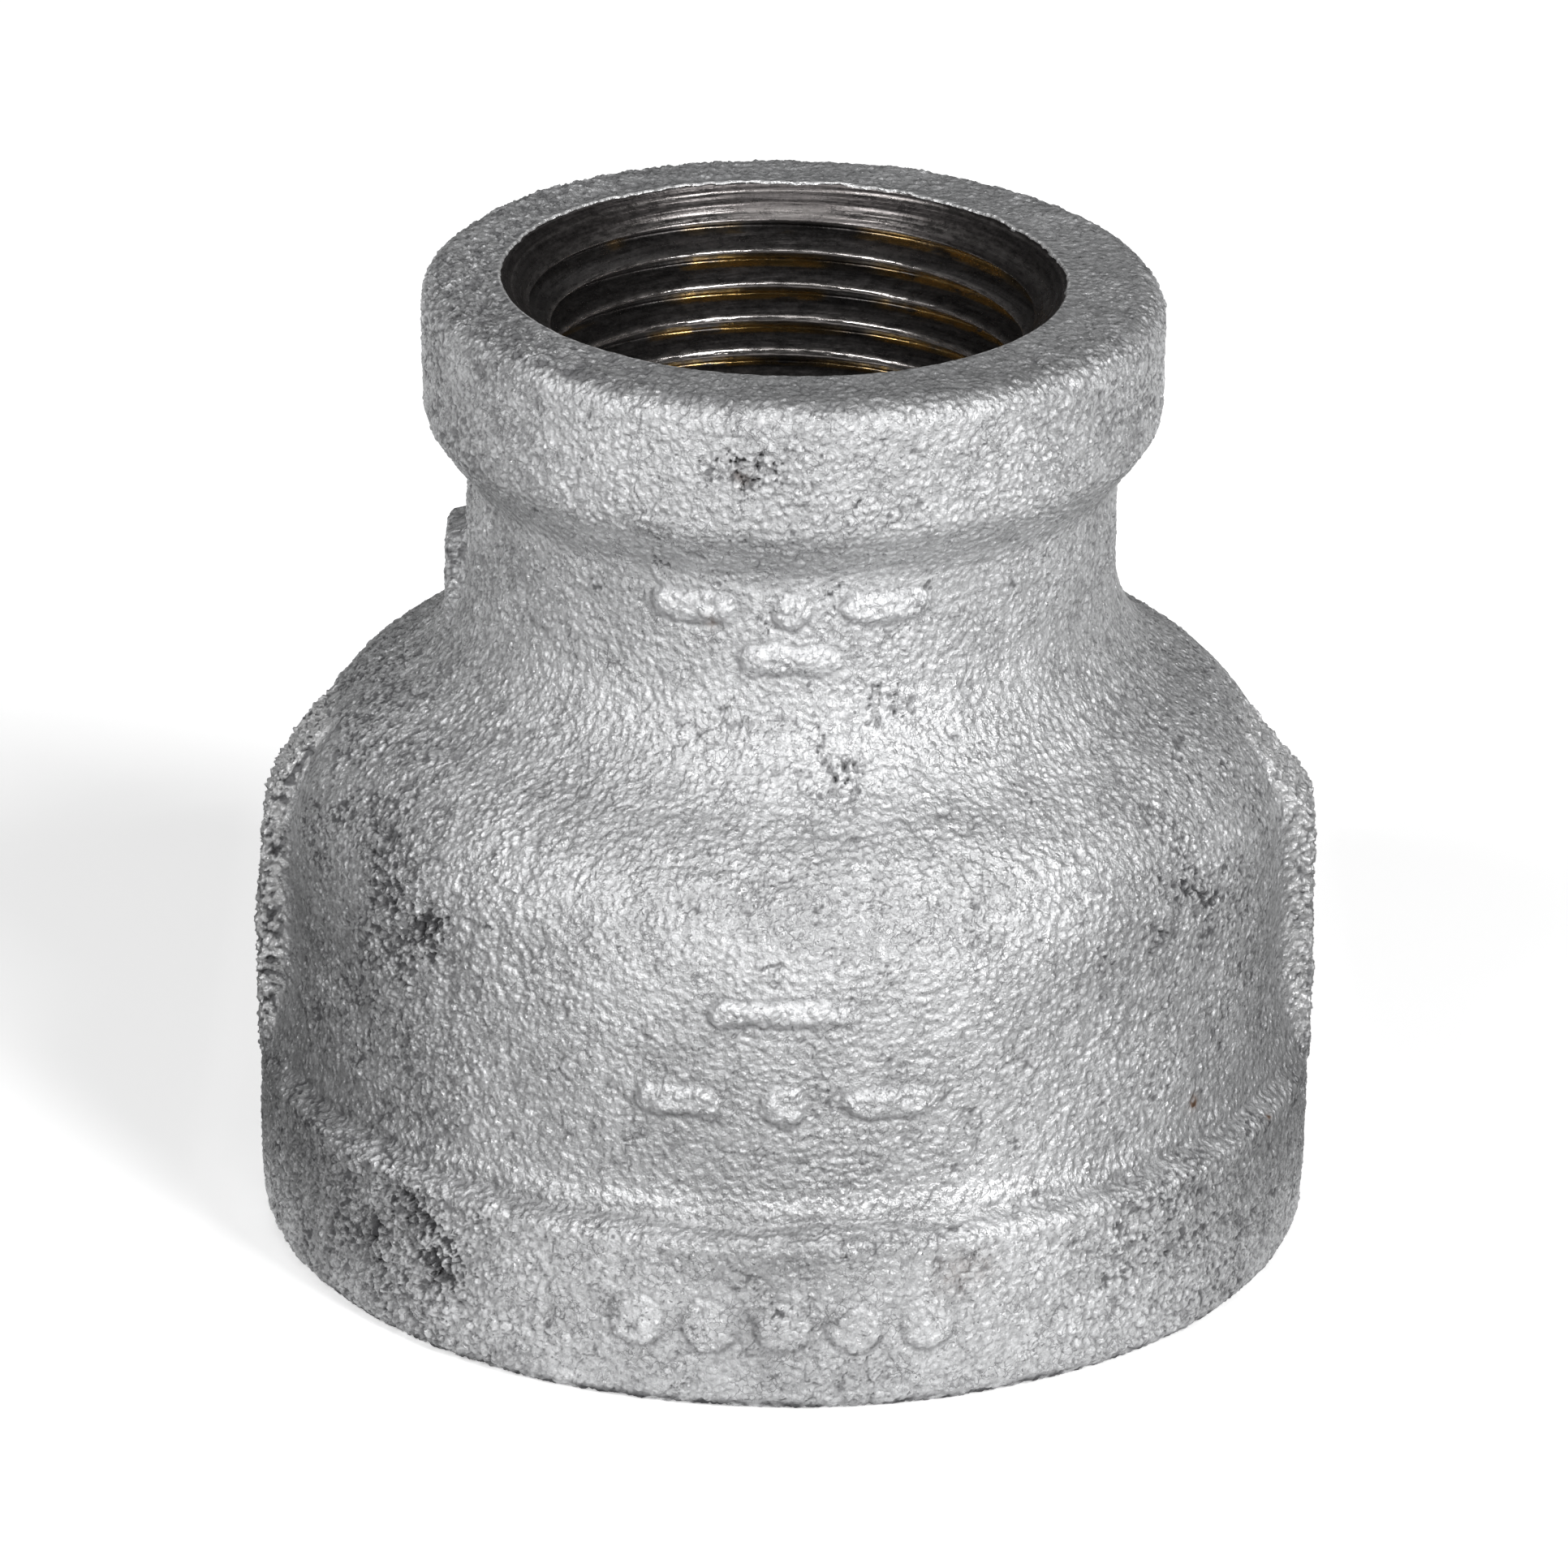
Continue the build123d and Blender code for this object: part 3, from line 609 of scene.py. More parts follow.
    # painted highlight: the smooth fillet and neck foot are lightened in colour
    painted_shading_all = np.concatenate([painted_shading - 0.14 * smooth_zinc, np.zeros((m, nc))], 0)
    smooth_all = np.concatenate([smooth_zinc, np.zeros((m, nc))], 0)
    return grid_mesh("zinc_outside", grid, {"flaws_and_shade": flaws_and_shade_all, "cut_edge_and_rib_light": cut_edge_and_rib_light, "high": high, "rust": rust_all, "topface": tops, "painted_shading": painted_shading_all, "sleek": smooth_all}), cut_t, cut_b


zinc_outside, EDGE_T, EDGE_B = outside_mesh()


# ---------------------------------------------------------------- bare iron body: both tapped bores and the hidden outside
IRON_COLS = 1080
PHI = -PI / 2 + 2 * PI * np.arange(IRON_COLS) / IRON_COLS
START_S = math.radians(125.0)


def groove(w, pitch, r_path):
    """Radius of a sharp V groove at distance w from its centre line."""
    outer = r_path + 0.38 * pitch
    half_root = 0.03 * pitch
    return outer - np.maximum(np.abs(w) - half_root, 0) / math.tan(math.radians(30))


def small_thread(z, phi):
    """Radius of the small tapped bore, and how deep below the crest, 0 to 1."""
    start = LENGTH - THREAD_S
    turn = ((phi - START_S) % (2 * PI)) / (2 * PI) * PITCH_S
    n = np.maximum(np.round((z - start - turn) / PITCH_S), 0)
    centre = start + turn + n * PITCH_S
    r_path = PITCH_R_S - (LENGTH - z) * (1 / 32)
    g = groove(z - centre, PITCH_S, r_path)
    r = np.maximum(DRILL_S, g)
    return r, np.clip((r - DRILL_S) / (0.7 * PITCH_S), 0, 1)


def large_thread(z, phi):
    start = THREAD_L
    turn = ((-phi) % (2 * PI)) / (2 * PI) * PITCH_L
    n = np.maximum(np.round((start - z - turn) / PITCH_L), 0)
    centre = start - turn - n * PITCH_L
    r_path = PITCH_R_L - z * (1 / 32)
    g = groove(z - centre, PITCH_L, r_path)
    r = np.maximum(DRILL_L, g)
    return r, np.clip((r - DRILL_L) / (0.7 * PITCH_L), 0, 1)


def soften(r, step, sigma):
    """Rounds sharp crests and roots by smoothing down the rows."""
    k = int(max(1, round(2.5 * sigma / step)))
    x = np.arange(-k, k + 1) * step
    w = np.exp(-(x / sigma) ** 2 / 2)
    w /= w.sum()
    pad = np.concatenate([np.repeat(r[:1], k, 0), r, np.repeat(r[-1:], k, 0)], 0)
    out = np.zeros_like(r)
    for i, wi in enumerate(w):
        out += wi * pad[i:i + len(r)]
    return out


def iron_mesh():
    step_s = 0.045
    step_l = 0.09
    hf = np.interp(wrap(PHI + PI / 2), wrap(THETA + PI / 2), face_heights(THETA), period=2 * PI)
    # small chamfer and thread, from the face down
    edge = top_edge_radius(PHI, hf) - 0.10
    z_top = LENGTH + (edge - CHAMFER_S)
    z_rows = np.arange(LENGTH - 0.05, LENGTH - BORE_S, -step_s)
    zz = np.repeat(z_rows[:, None], IRON_COLS, 1)
    ph = np.repeat(PHI[None], len(z_rows), 0)
    r_thr, deep = small_thread(zz, ph)
    r_cone = CHAMFER_S + (zz - LENGTH)
    r_s = soften(np.maximum(r_thr, r_cone), step_s, 0.035)
    on_cone = smoothstep(-0.10, 0.15, r_cone - r_thr)
    # torn and burred metal along the crests, light turning marks on the cone
    pp = np.stack([np.cos(ph) * 12, np.sin(ph) * 12, zz * 6.0], -1).reshape(-1, 3)
    tear = fbm(pp / 1.3, 3, 101).reshape(zz.shape)
    crest = np.exp(-(deep / 0.10) ** 2) * (1 - on_cone)
    r_s = r_s + 0.018 * tear * (1 - on_cone) + 0.030 * crest * fbm(pp / 0.8 + 9, 2, 102).reshape(zz.shape)
    turned = noise3(np.stack([np.cos(ph) * 1.2, np.sin(ph) * 1.2, zz * 7.5], -1).reshape(-1, 3), 103).reshape(zz.shape)
    down = LENGTH - zz + 0.05 * turned
    steps = 0.030 * np.exp(-((down - 0.42) / 0.05) ** 2) - 0.034 * np.exp(-((down - 0.86) / 0.07) ** 2) + 0.028 * np.exp(-((down - 1.20) / 0.05) ** 2)
    r_s = r_s + (0.022 * turned + steps) * on_cone
    # painted highlight: the crest mask, used for a lighter colour, also takes a bright line where the cone meets the
    # thread and bright rings on the cone
    crest = np.maximum(crest, 0.9 * np.exp(-((r_cone - r_thr - 0.02) / 0.07) ** 2))
    crest = np.maximum(crest, 0.40 * on_cone * np.exp(-((down - 1.28) / 0.22) ** 2) + 0.5 * on_cone * np.exp(-((down - 0.42) / 0.05) ** 2))
    # keep the top rows under the cut edge of the zinc
    z_fix = np.minimum(zz, z_top[None, :] - 0.0 * zz)
    r_s = np.where(zz > z_top[None, :], edge[None, :], r_s)
    x = r_s * np.cos(ph) + BORE_SHIFT * smoothstep(34.0, 40.0, zz)
    small = np.stack([x, r_s * np.sin(ph), z_fix], -1)
    top_row = np.stack([edge * np.cos(PHI) + BORE_SHIFT, edge * np.sin(PHI), z_top], -1)[None]
    a_small = dict(deep=np.where(on_cone > 0.5, 0, deep), cone=on_cone, crest=crest, small=np.ones_like(zz))

    # hidden stretch behind the zinc of the waterway
    way, _ = resample(waterway_line(-0.10), 0.6)
    way = way[::-1]
    wz = np.repeat(way[:, 1:2], IRON_COLS, 1)
    wr = np.repeat(way[:, 0:1], IRON_COLS, 1)
    wp = np.repeat(PHI[None], len(way), 0)
    hidden = np.stack([wr * np.cos(wp), wr * np.sin(wp), wz], -1)

    # large bore, from its inner end down to the face
    z_rows = np.arange(BORE_L + 0.2, 0.0, -step_l)
    zz = np.repeat(z_rows[:, None], IRON_COLS, 1)
    ph = np.repeat(PHI[None], len(z_rows), 0)
    r_thr, deep_l = large_thread(zz, ph)
    r_cone = CHAMFER_L - zz
    r_l = soften(np.maximum(r_thr, r_cone), step_l, 0.05)
    cone_l = smoothstep(-0.10, 0.15, r_cone - r_thr)
    crest_l = np.exp(-(deep_l / 0.10) ** 2) * (1 - cone_l)
    pp = np.stack([np.cos(ph) * 19.5, np.sin(ph) * 19.5, zz * 6.0], -1).reshape(-1, 3)
    r_l = r_l + 0.020 * fbm(pp / 1.3, 3, 105).reshape(zz.shape) * (1 - cone_l)
    turned = noise3(np.stack([np.cos(ph) * 1.2, np.sin(ph) * 1.2, zz * 6.0], -1).reshape(-1, 3), 106).reshape(zz.shape)
    r_l = r_l + 0.022 * turned * cone_l
    keep = zz < 0.14
    r_l = np.where(keep, np.minimum(r_l, CHAMFER_L - 0.14), r_l)
    large = np.stack([r_l * np.cos(ph), r_l * np.sin(ph), np.maximum(zz, 0.13)], -1)
    a_large = dict(deep=np.where(cone_l > 0.5, 0, deep_l), cone=cone_l, crest=crest_l, small=np.zeros_like(zz))

    # hidden outside, under the zinc
    outer, _ = resample(outer_line(0.50), 0.7)
    out_pts, _, _ = outside_grid(outer[1:-1], 0.50, PHI)
    lift = smoothstep(43.5, 49.0, out_pts[..., 2])
    out_pts[..., 2] += -out_pts[..., 0] * FACE_TILT * lift
    grid = np.concatenate([top_row, small, hidden, large, out_pts], 0)
    zero = lambda k: np.zeros((k, IRON_COLS))
    one = lambda k: np.ones((k, IRON_COLS))
    attrs = {}
    for key in ("deep", "cone", "crest", "small"):
        first = one(1) if key in ("cone", "small") else zero(1)
        attrs[key] = np.concatenate([first, a_small[key], zero(len(hidden)), a_large[key], zero(len(out_pts))], 0)
    return grid_mesh("iron_body", grid, attrs)


# ---------------------------------------------------------------- cast waterway, zinc over iron
R_CHAMBER, R_CHAMBER_DOME, R_CHAMBER_SHOULDER, R_THROAT = 21.10, 4.90, 11.70, 12.45


def waterway_line(inset):
    """(r, z) line of the waterway's wall from the large bore up to the small one; inset > 0 is towards the axis."""
    centre = R_CHAMBER - R_CHAMBER_DOME
    total = R_CHAMBER_DOME + R_CHAMBER_SHOULDER
    rs = R_THROAT + R_CHAMBER_SHOULDER
    dr = rs - centre
    zs = Z_DOME + math.sqrt(total ** 2 - dr ** 2)
    z_end = LENGTH - BORE_S - 1.0
    d, s = R_CHAMBER_DOME - inset, R_CHAMBER_SHOULDER + inset
    join_a = math.atan2(zs - Z_DOME, dr)
    pts = [(DRILL_L + 0.05 - inset * 0.6, BORE_L - 0.02), (R_CHAMBER - inset, BORE_L + 1.2), (R_CHAMBER - inset, Z_DOME)]
    for a in np.linspace(0, join_a, 24)[1:]:
        pts.append((centre + d * math.cos(a), Z_DOME + d * math.sin(a)))
    a1 = math.asin((zs - z_end) / s)
    for a in np.linspace(join_a, a1, 24)[1:]:
        pts.append((rs - s * math.cos(a), zs - s * math.sin(a)))
    pts.append((DRILL_S + 0.02 - inset * 0.6, z_end + (pts[-1][0] - DRILL_S)))
    return np.array(pts)


def waterway_mesh():
    cols = 700
    phi = -PI / 2 + 2 * PI * np.arange(cols) / cols
    front, _ = resample(waterway_line(0.0), 0.17)
    nr = len(front)
    r = np.repeat(front[:, 0:1], cols, 1)
    z = np.repeat(front[:, 1:2], cols, 1)
    ph = np.repeat(phi[None], nr, 0)
    base = np.stack([r * np.cos(ph), r * np.sin(ph), z], -1)
    flat = base.reshape(-1, 3)
    f1, f2, who = cells((flat + 0.3 * np.stack([fbm(flat / 1.7 + 9 * i, 2, 120 + i) for i in range(3)], -1)) / 0.7, 130)
    h = 0.12 * fbm(flat / 5.0, 2, 131) + 0.08 * fbm(flat / 1.4, 2, 132) + 0.06 * (0.5 - np.clip(f1 / 0.85, 0, 1) ** 2)
    h = h.reshape(nr, cols)
    ends = np.minimum(np.arange(nr), nr - 1 - np.arange(nr))
    h = (h + 0.02) * smoothstep(0, 6, ends)[:, None]
    dc = np.roll(base, -1, 1) - np.roll(base, 1, 1)
    dr = np.gradient(base, axis=0)
    n = np.cross(dr, dc)
    n /= np.maximum(np.linalg.norm(n, axis=2, keepdims=True), 1e-9)
    pos = base + n * h[..., None]
    back, _ = resample(waterway_line(-0.09), 0.9)
    rb = np.repeat(back[:, 0:1], cols, 1)
    zb = np.repeat(back[:, 1:2], cols, 1)
    pb = np.repeat(phi[None], len(back), 0)
    rear = np.stack([rb * np.cos(pb), rb * np.sin(pb), zb], -1)
    grid = np.concatenate([pos[::-1], rear], 0)
    # painted shade: the grain's creases darkened in colour
    crease = np.clip(1 - (f2 - f1) / 0.16, 0, 1).reshape(nr, cols)[::-1] * 0.5
    zero = np.zeros((len(back), cols))
    z0 = np.zeros((nr, cols))
    return grid_mesh("zinc_waterway", grid, {
        "flaws_and_shade": np.concatenate([crease, zero], 0), "cut_edge_and_rib_light": np.concatenate([z0, zero], 0),
        "high": np.concatenate([h[::-1], zero], 0), "rust": np.concatenate([z0, zero], 0),
        "topface": np.concatenate([z0, zero], 0), "painted_shading": np.concatenate([z0, zero], 0),
        "sleek": np.concatenate([z0 + 0.2, zero], 0)})


iron_body = iron_mesh()
zinc_waterway = waterway_mesh()


# ---------------------------------------------------------------- materials
class Nodes:
    """Short way to build a node material."""

    def __init__(self, name):
        self.mat = bpy.data.materials.new(name)
        self.mat.use_nodes = True
        self.tree = self.mat.node_tree
        self.tree.nodes.clear()
        self.out = self.tree.nodes.new("ShaderNodeOutputMaterial")
        self.bsdf = self.tree.nodes.new("ShaderNodeBsdfPrincipled")
        self.tree.links.new(self.bsdf.outputs[0], self.out.inputs[0])
        coord = self.tree.nodes.new("ShaderNodeTexCoord")
        self.mm = self.vec("SCALE", coord.outputs["Object"], scale=1000.0)

    def put(self, socket, value):
        if hasattr(value, "is_output"):
            self.tree.links.new(value, socket)
        else:
            socket.default_value = value

    def vec(self, op, a, b=None, scale=None):
        n = self.tree.nodes.new("ShaderNodeVectorMath")
        n.operation = op
        self.put(n.inputs[0], a)
        if b is not None:
            self.put(n.inputs[1], b)
        if scale is not None:
            n.inputs["Scale"].default_value = scale
        return n.outputs[0]

    def math(self, op, a, b=0.0, c=None, clamp=False):
        n = self.tree.nodes.new("ShaderNodeMath")
        n.operation = op
        n.use_clamp = clamp
        self.put(n.inputs[0], a)
        self.put(n.inputs[1], b)
        if c is not None:
            self.put(n.inputs[2], c)
        return n.outputs[0]

    def attr(self, name):
        n = self.tree.nodes.new("ShaderNodeAttribute")
        n.attribute_name = name
        return n.outputs["Fac"]

    def noise(self, scale, detail=2.0, rough=0.5, vector=None, distortion=0.0):
        n = self.tree.nodes.new("ShaderNodeTexNoise")
        self.put(n.inputs["Vector"], vector if vector is not None else self.mm)
        n.inputs["Scale"].default_value = scale
        n.inputs["Detail"].default_value = detail
        n.inputs["Roughness"].default_value = rough
        n.inputs["Distortion"].default_value = distortion
        return n.outputs["Fac"]

    def voronoi(self, scale, feature="F1", out="Distance", vector=None):
        n = self.tree.nodes.new("ShaderNodeTexVoronoi")
        n.feature = feature
        self.put(n.inputs["Vector"], vector if vector is not None else self.mm)
        n.inputs["Scale"].default_value = scale
        return n.outputs[out]

    def ramp(self, fac, low, high, to_low=0.0, to_high=1.0):
        n = self.tree.nodes.new("ShaderNodeMapRange")
        n.interpolation_type = "SMOOTHSTEP"
        self.put(n.inputs[0], fac)
        n.inputs[1].default_value = low
        n.inputs[2].default_value = high
        n.inputs[3].default_value = to_low
        n.inputs[4].default_value = to_high
        return n.outputs[0]

    def mix(self, fac, a, b):
        n = self.tree.nodes.new("ShaderNodeMix")
        n.data_type = "RGBA"
        self.put(n.inputs[0], fac)
        self.put(n.inputs[6], a)
        self.put(n.inputs[7], b)
        return n.outputs[2]

    def gain(self, colour, amount):
        n = self.tree.nodes.new("ShaderNodeVectorMath")
        n.operation = "SCALE"
        self.put(n.inputs[0], colour)
        self.put(n.inputs["Scale"], amount)
        return n.outputs[0]

    def bump(self, height, distance, normal=None, strength=1.0):
        n = self.tree.nodes.new("ShaderNodeBump")
        n.inputs["Strength"].default_value = strength
        n.inputs["Distance"].default_value = distance
        self.put(n.inputs["Height"], height)
        if normal is not None:
            self.put(n.inputs["Normal"], normal)
        return n.outputs[0]

    def set(self, **values):
        for key, value in values.items():
            self.put(self.bsdf.inputs[key.replace("_", " ")], value)


def zinc_material():
    m = Nodes("zinc_finish")
    flaws_and_shade, cut_edge_and_rib_light, high, rust, top, painted_shading, sleek = (m.attr(k) for k in ("flaws_and_shade", "cut_edge_and_rib_light", "high", "rust", "topface", "painted_shading", "sleek"))
    cloud = m.noise(0.16, 3.0, 0.55)
    mottle = m.noise(1.1, 4.0, 0.62)
    speck = m.noise(4.6, 3.0, 0.6)
    flake = m.voronoi(3.3, "F1", "Color")
    sep = m.tree.nodes.new("ShaderNodeSeparateColor")
    m.tree.links.new(flake, sep.inputs[0])
    tone = m.math("ADD", m.ramp(cloud, 0.3, 0.7, 0.90, 1.06), m.ramp(mottle, 0.3, 0.7, -0.09, 0.07))
    tone = m.math("ADD", tone, m.ramp(speck, 0.3, 0.7, -0.07, 0.06))
    tone = m.math("ADD", tone, m.math("MULTIPLY", m.math("SUBTRACT", sep.outputs[0], 0.5), 0.12))
    # painted shade in the grain's hollows and painted light on its raised parts
    tone = m.math("MULTIPLY", tone, m.ramp(high, -0.16, 0.10, 0.82, 1.05))
    # painted shade: the small face is darker
    tone = m.math("MULTIPLY", tone, m.math("MULTIPLY_ADD", top, -0.28, 1.0))
    # painted shade and painted light: the colour is darkened or lightened in the listed patches and on the smooth zinc
    tone = m.math("MULTIPLY", tone, m.math("SUBTRACT", 1.0, painted_shading))
    colour = m.gain((0.622, 0.626, 0.634), tone)
    warp = m.tree.nodes.new("ShaderNodeTexNoise")
    m.put(warp.inputs["Vector"], m.mm)
    warp.inputs["Scale"].default_value = 1.6
    bent = m.vec("ADD", m.mm, m.vec("SCALE", warp.outputs["Color"], scale=0.9))
    hair = m.math("MULTIPLY", m.ramp(m.voronoi(1.9, "DISTANCE_TO_EDGE", vector=bent), 0.015, 0.075, 1.0, 0.0),
                  m.ramp(m.noise(0.55, 2.0, 0.5), 0.46, 0.62))
    hole = m.math("MULTIPLY", m.ramp(m.voronoi(2.3, "F1", vector=bent), 0.10, 0.24, 1.0, 0.0), m.ramp(m.noise(0.8, 2.0, 0.6), 0.52, 0.60))
    spots = m.math("MAXIMUM", m.math("MULTIPLY", hair, 0.62), m.math("MULTIPLY", hole, 0.75))
    spots = m.math("MAXIMUM", spots, m.math("MULTIPLY", top, m.ramp(m.noise(1.5, 4.0, 0.7, distortion=1.2), 0.50, 0.66, 0.0, 0.55)))
    flaws_and_shade = m.math("MAXIMUM", flaws_and_shade, spots)
    # mixes towards near black: real flaws (pits, specks, cracks, scab), and painted shade in creases, grooves and along
    # the marks' foot
    colour = m.mix(m.math("MULTIPLY", flaws_and_shade, 0.95, clamp=True), colour, (0.045, 0.045, 0.048, 1.0))
    # bright cut zinc on the skin's edges, and painted light on the rib faces, mixed towards light grey
    colour = m.mix(m.math("MULTIPLY", cut_edge_and_rib_light, 0.8, clamp=True), colour, (0.80, 0.80, 0.80, 1.0))
    colour = m.mix(m.math("MULTIPLY", rust, 0.95, clamp=True), colour, (0.085, 0.045, 0.024, 1.0))
    rough = m.math("ADD", m.ramp(mottle, 0.3, 0.7, 0.42, 0.55), m.math("MULTIPLY", m.math("SUBTRACT", sep.outputs[1], 0.5), 0.16))
    rough = m.math("SUBTRACT", rough, m.math("MULTIPLY", sleek, 0.14))
    rough = m.math("ADD", rough, m.math("MULTIPLY", flaws_and_shade, 0.25), clamp=True)
    rough = m.math("SUBTRACT", rough, m.ramp(sep.outputs[2], 0.90, 0.95, 0.0, 0.20), clamp=True)
    rough = m.math("ADD", rough, m.math("MULTIPLY", cut_edge_and_rib_light, -0.15), clamp=True)
    metal = m.math("SUBTRACT", 0.66, m.math("ADD", m.math("MULTIPLY", rust, 0.8), m.math("MULTIPLY", flaws_and_shade, 0.60)), clamp=True)
    grain = m.noise(3.4, 3.0, 0.6)
    grit = m.noise(9.0, 2.0, 0.5)
    pebble = m.voronoi(3.0, "SMOOTH_F1")
    n1 = m.bump(grain, 0.00007)
    n2 = m.bump(m.math("SUBTRACT", 1.0, pebble), 0.00018, n1)
    n3 = m.bump(grit, 0.00006, n2)
    m.set(Base_Color=colour, Roughness=rough, Metallic=metal, Normal=n3,
          Specular_IOR_Level=m.math("MULTIPLY_ADD", flaws_and_shade, -0.42, 0.5, clamp=True))
    return m.mat


def iron_material():
    m = Nodes("oiled_machined_iron")
    deep, cone, crest = (m.attr(k) for k in ("deep", "cone", "crest"))
    lined = m.vec("MULTIPLY", m.mm, (0.22, 0.22, 7.0))
    lines = m.noise(1.0, 4.0, 0.6, vector=lined)
    drawn = m.vec("MULTIPLY", m.mm, (0.9, 0.9, 4.0))
    torn = m.noise(1.3, 4.0, 0.65, vector=drawn)
    speck = m.noise(5.5, 3.0, 0.65)
    tone = m.math("ADD", m.ramp(lines, 0.3, 0.7, 0.70, 1.25), m.ramp(speck, 0.3, 0.7, -0.22, 0.22))
    flank = m.gain((0.115, 0.108, 0.106), tone)
    chamfer = m.gain((0.118, 0.108, 0.106), tone)
    colour = m.mix(cone, flank, chamfer)
    # painted highlight: thread crests and the cone's rings lightened towards bright iron
    colour = m.mix(m.math("MULTIPLY", crest, m.ramp(torn, 0.30, 0.55, 0.35, 0.95)), colour, (0.50, 0.47, 0.455, 1.0))
    pools = m.ramp(m.noise(0.16, 2.0, 0.5), 0.40, 0.55)
    oily = m.math("MULTIPLY", m.ramp(deep, 0.74, 0.90), pools, clamp=True)
    oily = m.math("MULTIPLY", oily, m.ramp(m.noise(1.0, 3.0, 0.6, vector=m.vec("MULTIPLY", m.mm, (0.5, 0.5, 2.6))), 0.36, 0.50), clamp=True)
    colour = m.mix(oily, colour, (0.50, 0.33, 0.12, 1.0))
    rough = m.math("ADD", m.ramp(torn, 0.3, 0.7, 0.24, 0.40), m.math("MULTIPLY", crest, -0.10), clamp=True)
    rough = m.math("ADD", rough, m.math("MULTIPLY", oily, -0.12), clamp=True)
    n1 = m.bump(lines, 0.000030)
    n2 = m.bump(speck, 0.000014, n1)
    m.set(Base_Color=colour, Roughness=rough, Metallic=0.95, Normal=n2,
          Coat_Weight=m.math("MULTIPLY_ADD", oily, 0.7, 0.15), Coat_Roughness=0.08)
    return m.mat


zinc_finish = zinc_material()
iron_finish = iron_material()
zinc_outside.data.materials.append(zinc_finish)
zinc_waterway.data.materials.append(zinc_finish)
iron_body.data.materials.append(iron_finish)

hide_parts("zinc_coating_outside")
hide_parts("zinc_coating_inside")
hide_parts("iron_casting")
for piece, finish in ((zinc_outside, "zinc"), (zinc_waterway, "zinc"), (iron_body, "bare_iron")):
    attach(piece, "root")


# ---------------------------------------------------------------- studio
scene = bpy.context.scene
scene.view_settings.view_transform = "Standard"
scene.view_settings.exposure = 0.0


def stage_plane(name, size, location):
    bpy.ops.mesh.primitive_plane_add(size=size, location=location)
    ob = bpy.context.object
    ob.name = name
    return ob


floor = stage_plane("floor", 8.0, (0, 0, 0))
pale = bpy.data.materials.new("pale_floor")
pale.use_nodes = True
p = pale.node_tree.nodes["Principled BSDF"]
p.inputs["Base Color"].default_value = (0.93, 0.93, 0.93, 1)
p.inputs["Roughness"].default_value = 1.0
p.inputs["Specular IOR Level"].default_value = 0.0
p.inputs["Emission Color"].default_value = (1, 1, 1, 1)
p.inputs["Emission Strength"].default_value = 0.36
floor.data.materials.append(pale)

world = bpy.data.worlds.new("studio")
scene.world = world
world.use_nodes = True
world.node_tree.nodes["Background"].inputs[0].default_value = (1, 1, 1, 1)
world.node_tree.nodes["Background"].inputs[1].default_value = 0.02


def softbox(name, azimuth, elevation, distance, size_x, size_y, power):
    """Area light aimed at the part; azimuth 0 is the camera's side (-Y), positive to the right (+X)."""
    a, e = math.radians(azimuth), math.radians(elevation)
    d = np.array([math.sin(a) * math.cos(e), -math.cos(a) * math.cos(e), math.sin(e)])
    data = bpy.data.lights.new(name, "AREA")
    data.shape = "RECTANGLE"
    data.size, data.size_y = size_x, size_y
    data.energy = power
    ob = bpy.data.objects.new(name, data)
    ob.location = tuple(d * distance + np.array([0, 0, 0.025]))
    from mathutils import Vector
    ob.rotation_euler = Vector(tuple(d)).to_track_quat("Z", "Y").to_euler()
    scene.collection.objects.link(ob)
    return ob


softbox("key_right", 42, 34, 1.1, 0.36, 0.6, 12.3)
softbox("key_left", -42, 36, 1.1, 0.36, 0.6, 7.6)
softbox("overhead", 0, 68, 1.0, 0.35, 0.35, 1.0)
softbox("back_fill", 180, 50, 1.3, 1.2, 0.6, 0.9)

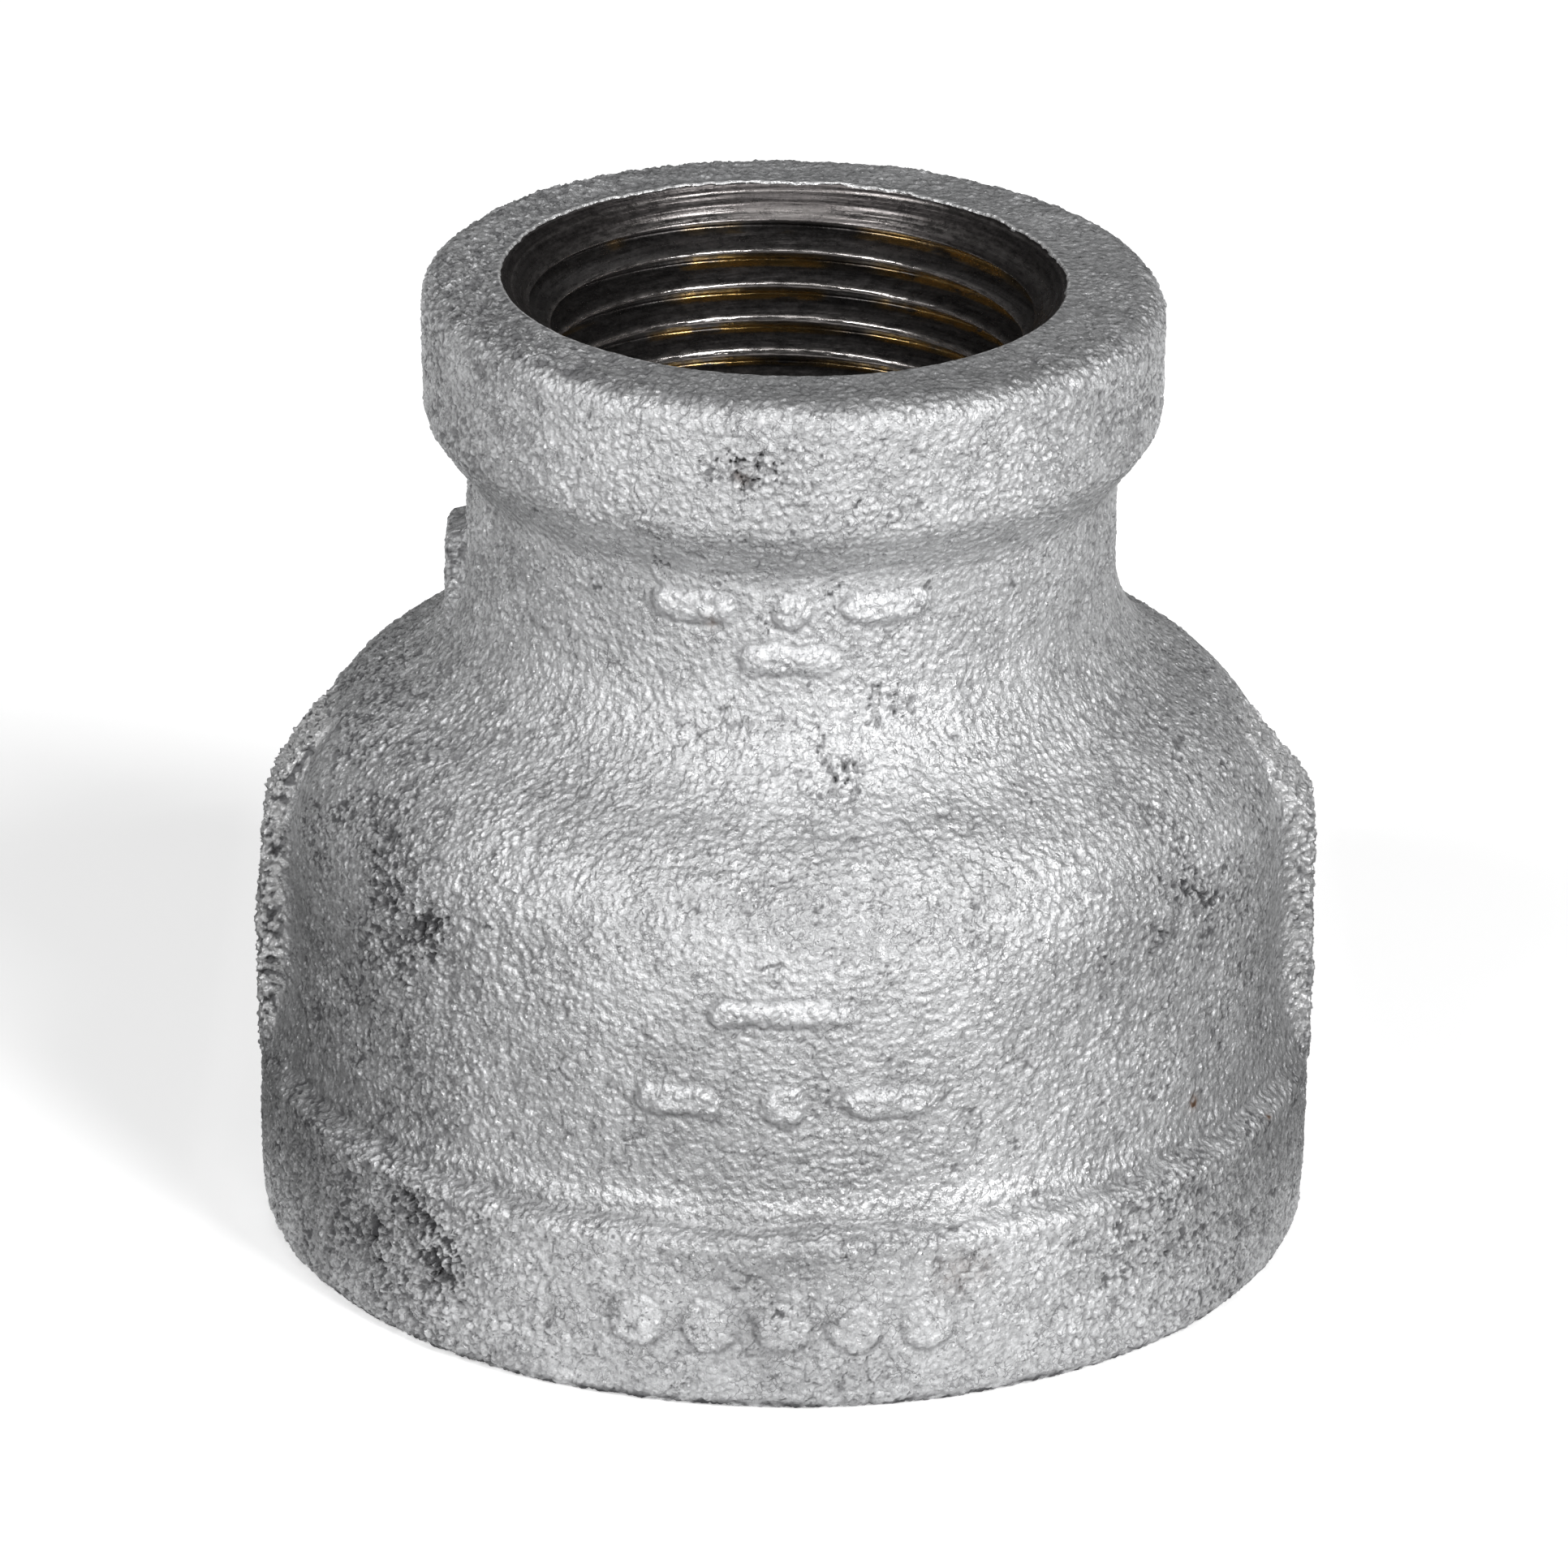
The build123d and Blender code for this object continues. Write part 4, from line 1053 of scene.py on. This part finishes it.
# grey cards close on both sides, outside the picture: they take the floor's glare off the sides of the part
card = bpy.data.materials.new("grey_card")
card.use_nodes = True
b = card.node_tree.nodes["Principled BSDF"]
b.inputs["Roughness"].default_value = 1.0
b.inputs["Specular IOR Level"].default_value = 0.0
b.inputs["Base Color"].default_value = (0.05, 0.05, 0.05, 1)
bpy.ops.mesh.primitive_plane_add(size=1.0, location=(0, -0.0375, 0.0035), rotation=(math.atan2(0.004, 0.017), 0, 0))
flag = bpy.context.object
flag.name = "card_front"
flag.scale = (0.058, 0.0175, 1.0)
flag.visible_camera = False
flag.visible_shadow = False
flag.data.materials.append(card)
for label, side, y, depth in (("card_left", -1, -0.004, 0.110), ("card_right", 1, 0.004, 0.090)):
    # sloping up and away from the part's foot
    bpy.ops.mesh.primitive_plane_add(size=1.0, location=(side * 0.0405, y, 0.0090), rotation=(0, -side * math.atan2(0.016, 0.021), 0))
    flag = bpy.context.object
    flag.name = label
    flag.scale = (0.0264, depth, 1.0)
    flag.visible_camera = False
    flag.visible_shadow = False
    flag.data.materials.append(card)

# camera: 245 mm lens looking a little down on the part
ELEV, DIST, ROLL = math.radians(22.789), 538.4, math.radians(0.52)
TARGET = np.array([-0.139, 0.0, 22.315])
back = np.array([0.0, -math.cos(ELEV), math.sin(ELEV)])
right = np.array([1.0, 0.0, 0.0])
up = np.cross(back, right)
r2 = right * math.cos(ROLL) + up * math.sin(ROLL)
u2 = -right * math.sin(ROLL) + up * math.cos(ROLL)
from mathutils import Matrix
cam_data = bpy.data.cameras.new("camera")
cam_data.sensor_width = 36.0
cam_data.lens = 13138.0 / 1932.0 * 36.0
cam_data.clip_start, cam_data.clip_end = 0.01, 20.0
cam = bpy.data.objects.new("camera", cam_data)
scene.collection.objects.link(cam)
spot = (TARGET + DIST * back) * MM
cam.matrix_world = Matrix(((r2[0], u2[0], back[0], spot[0]), (r2[1], u2[1], back[1], spot[1]),
                           (r2[2], u2[2], back[2], spot[2]), (0, 0, 0, 1)))
scene.camera = cam
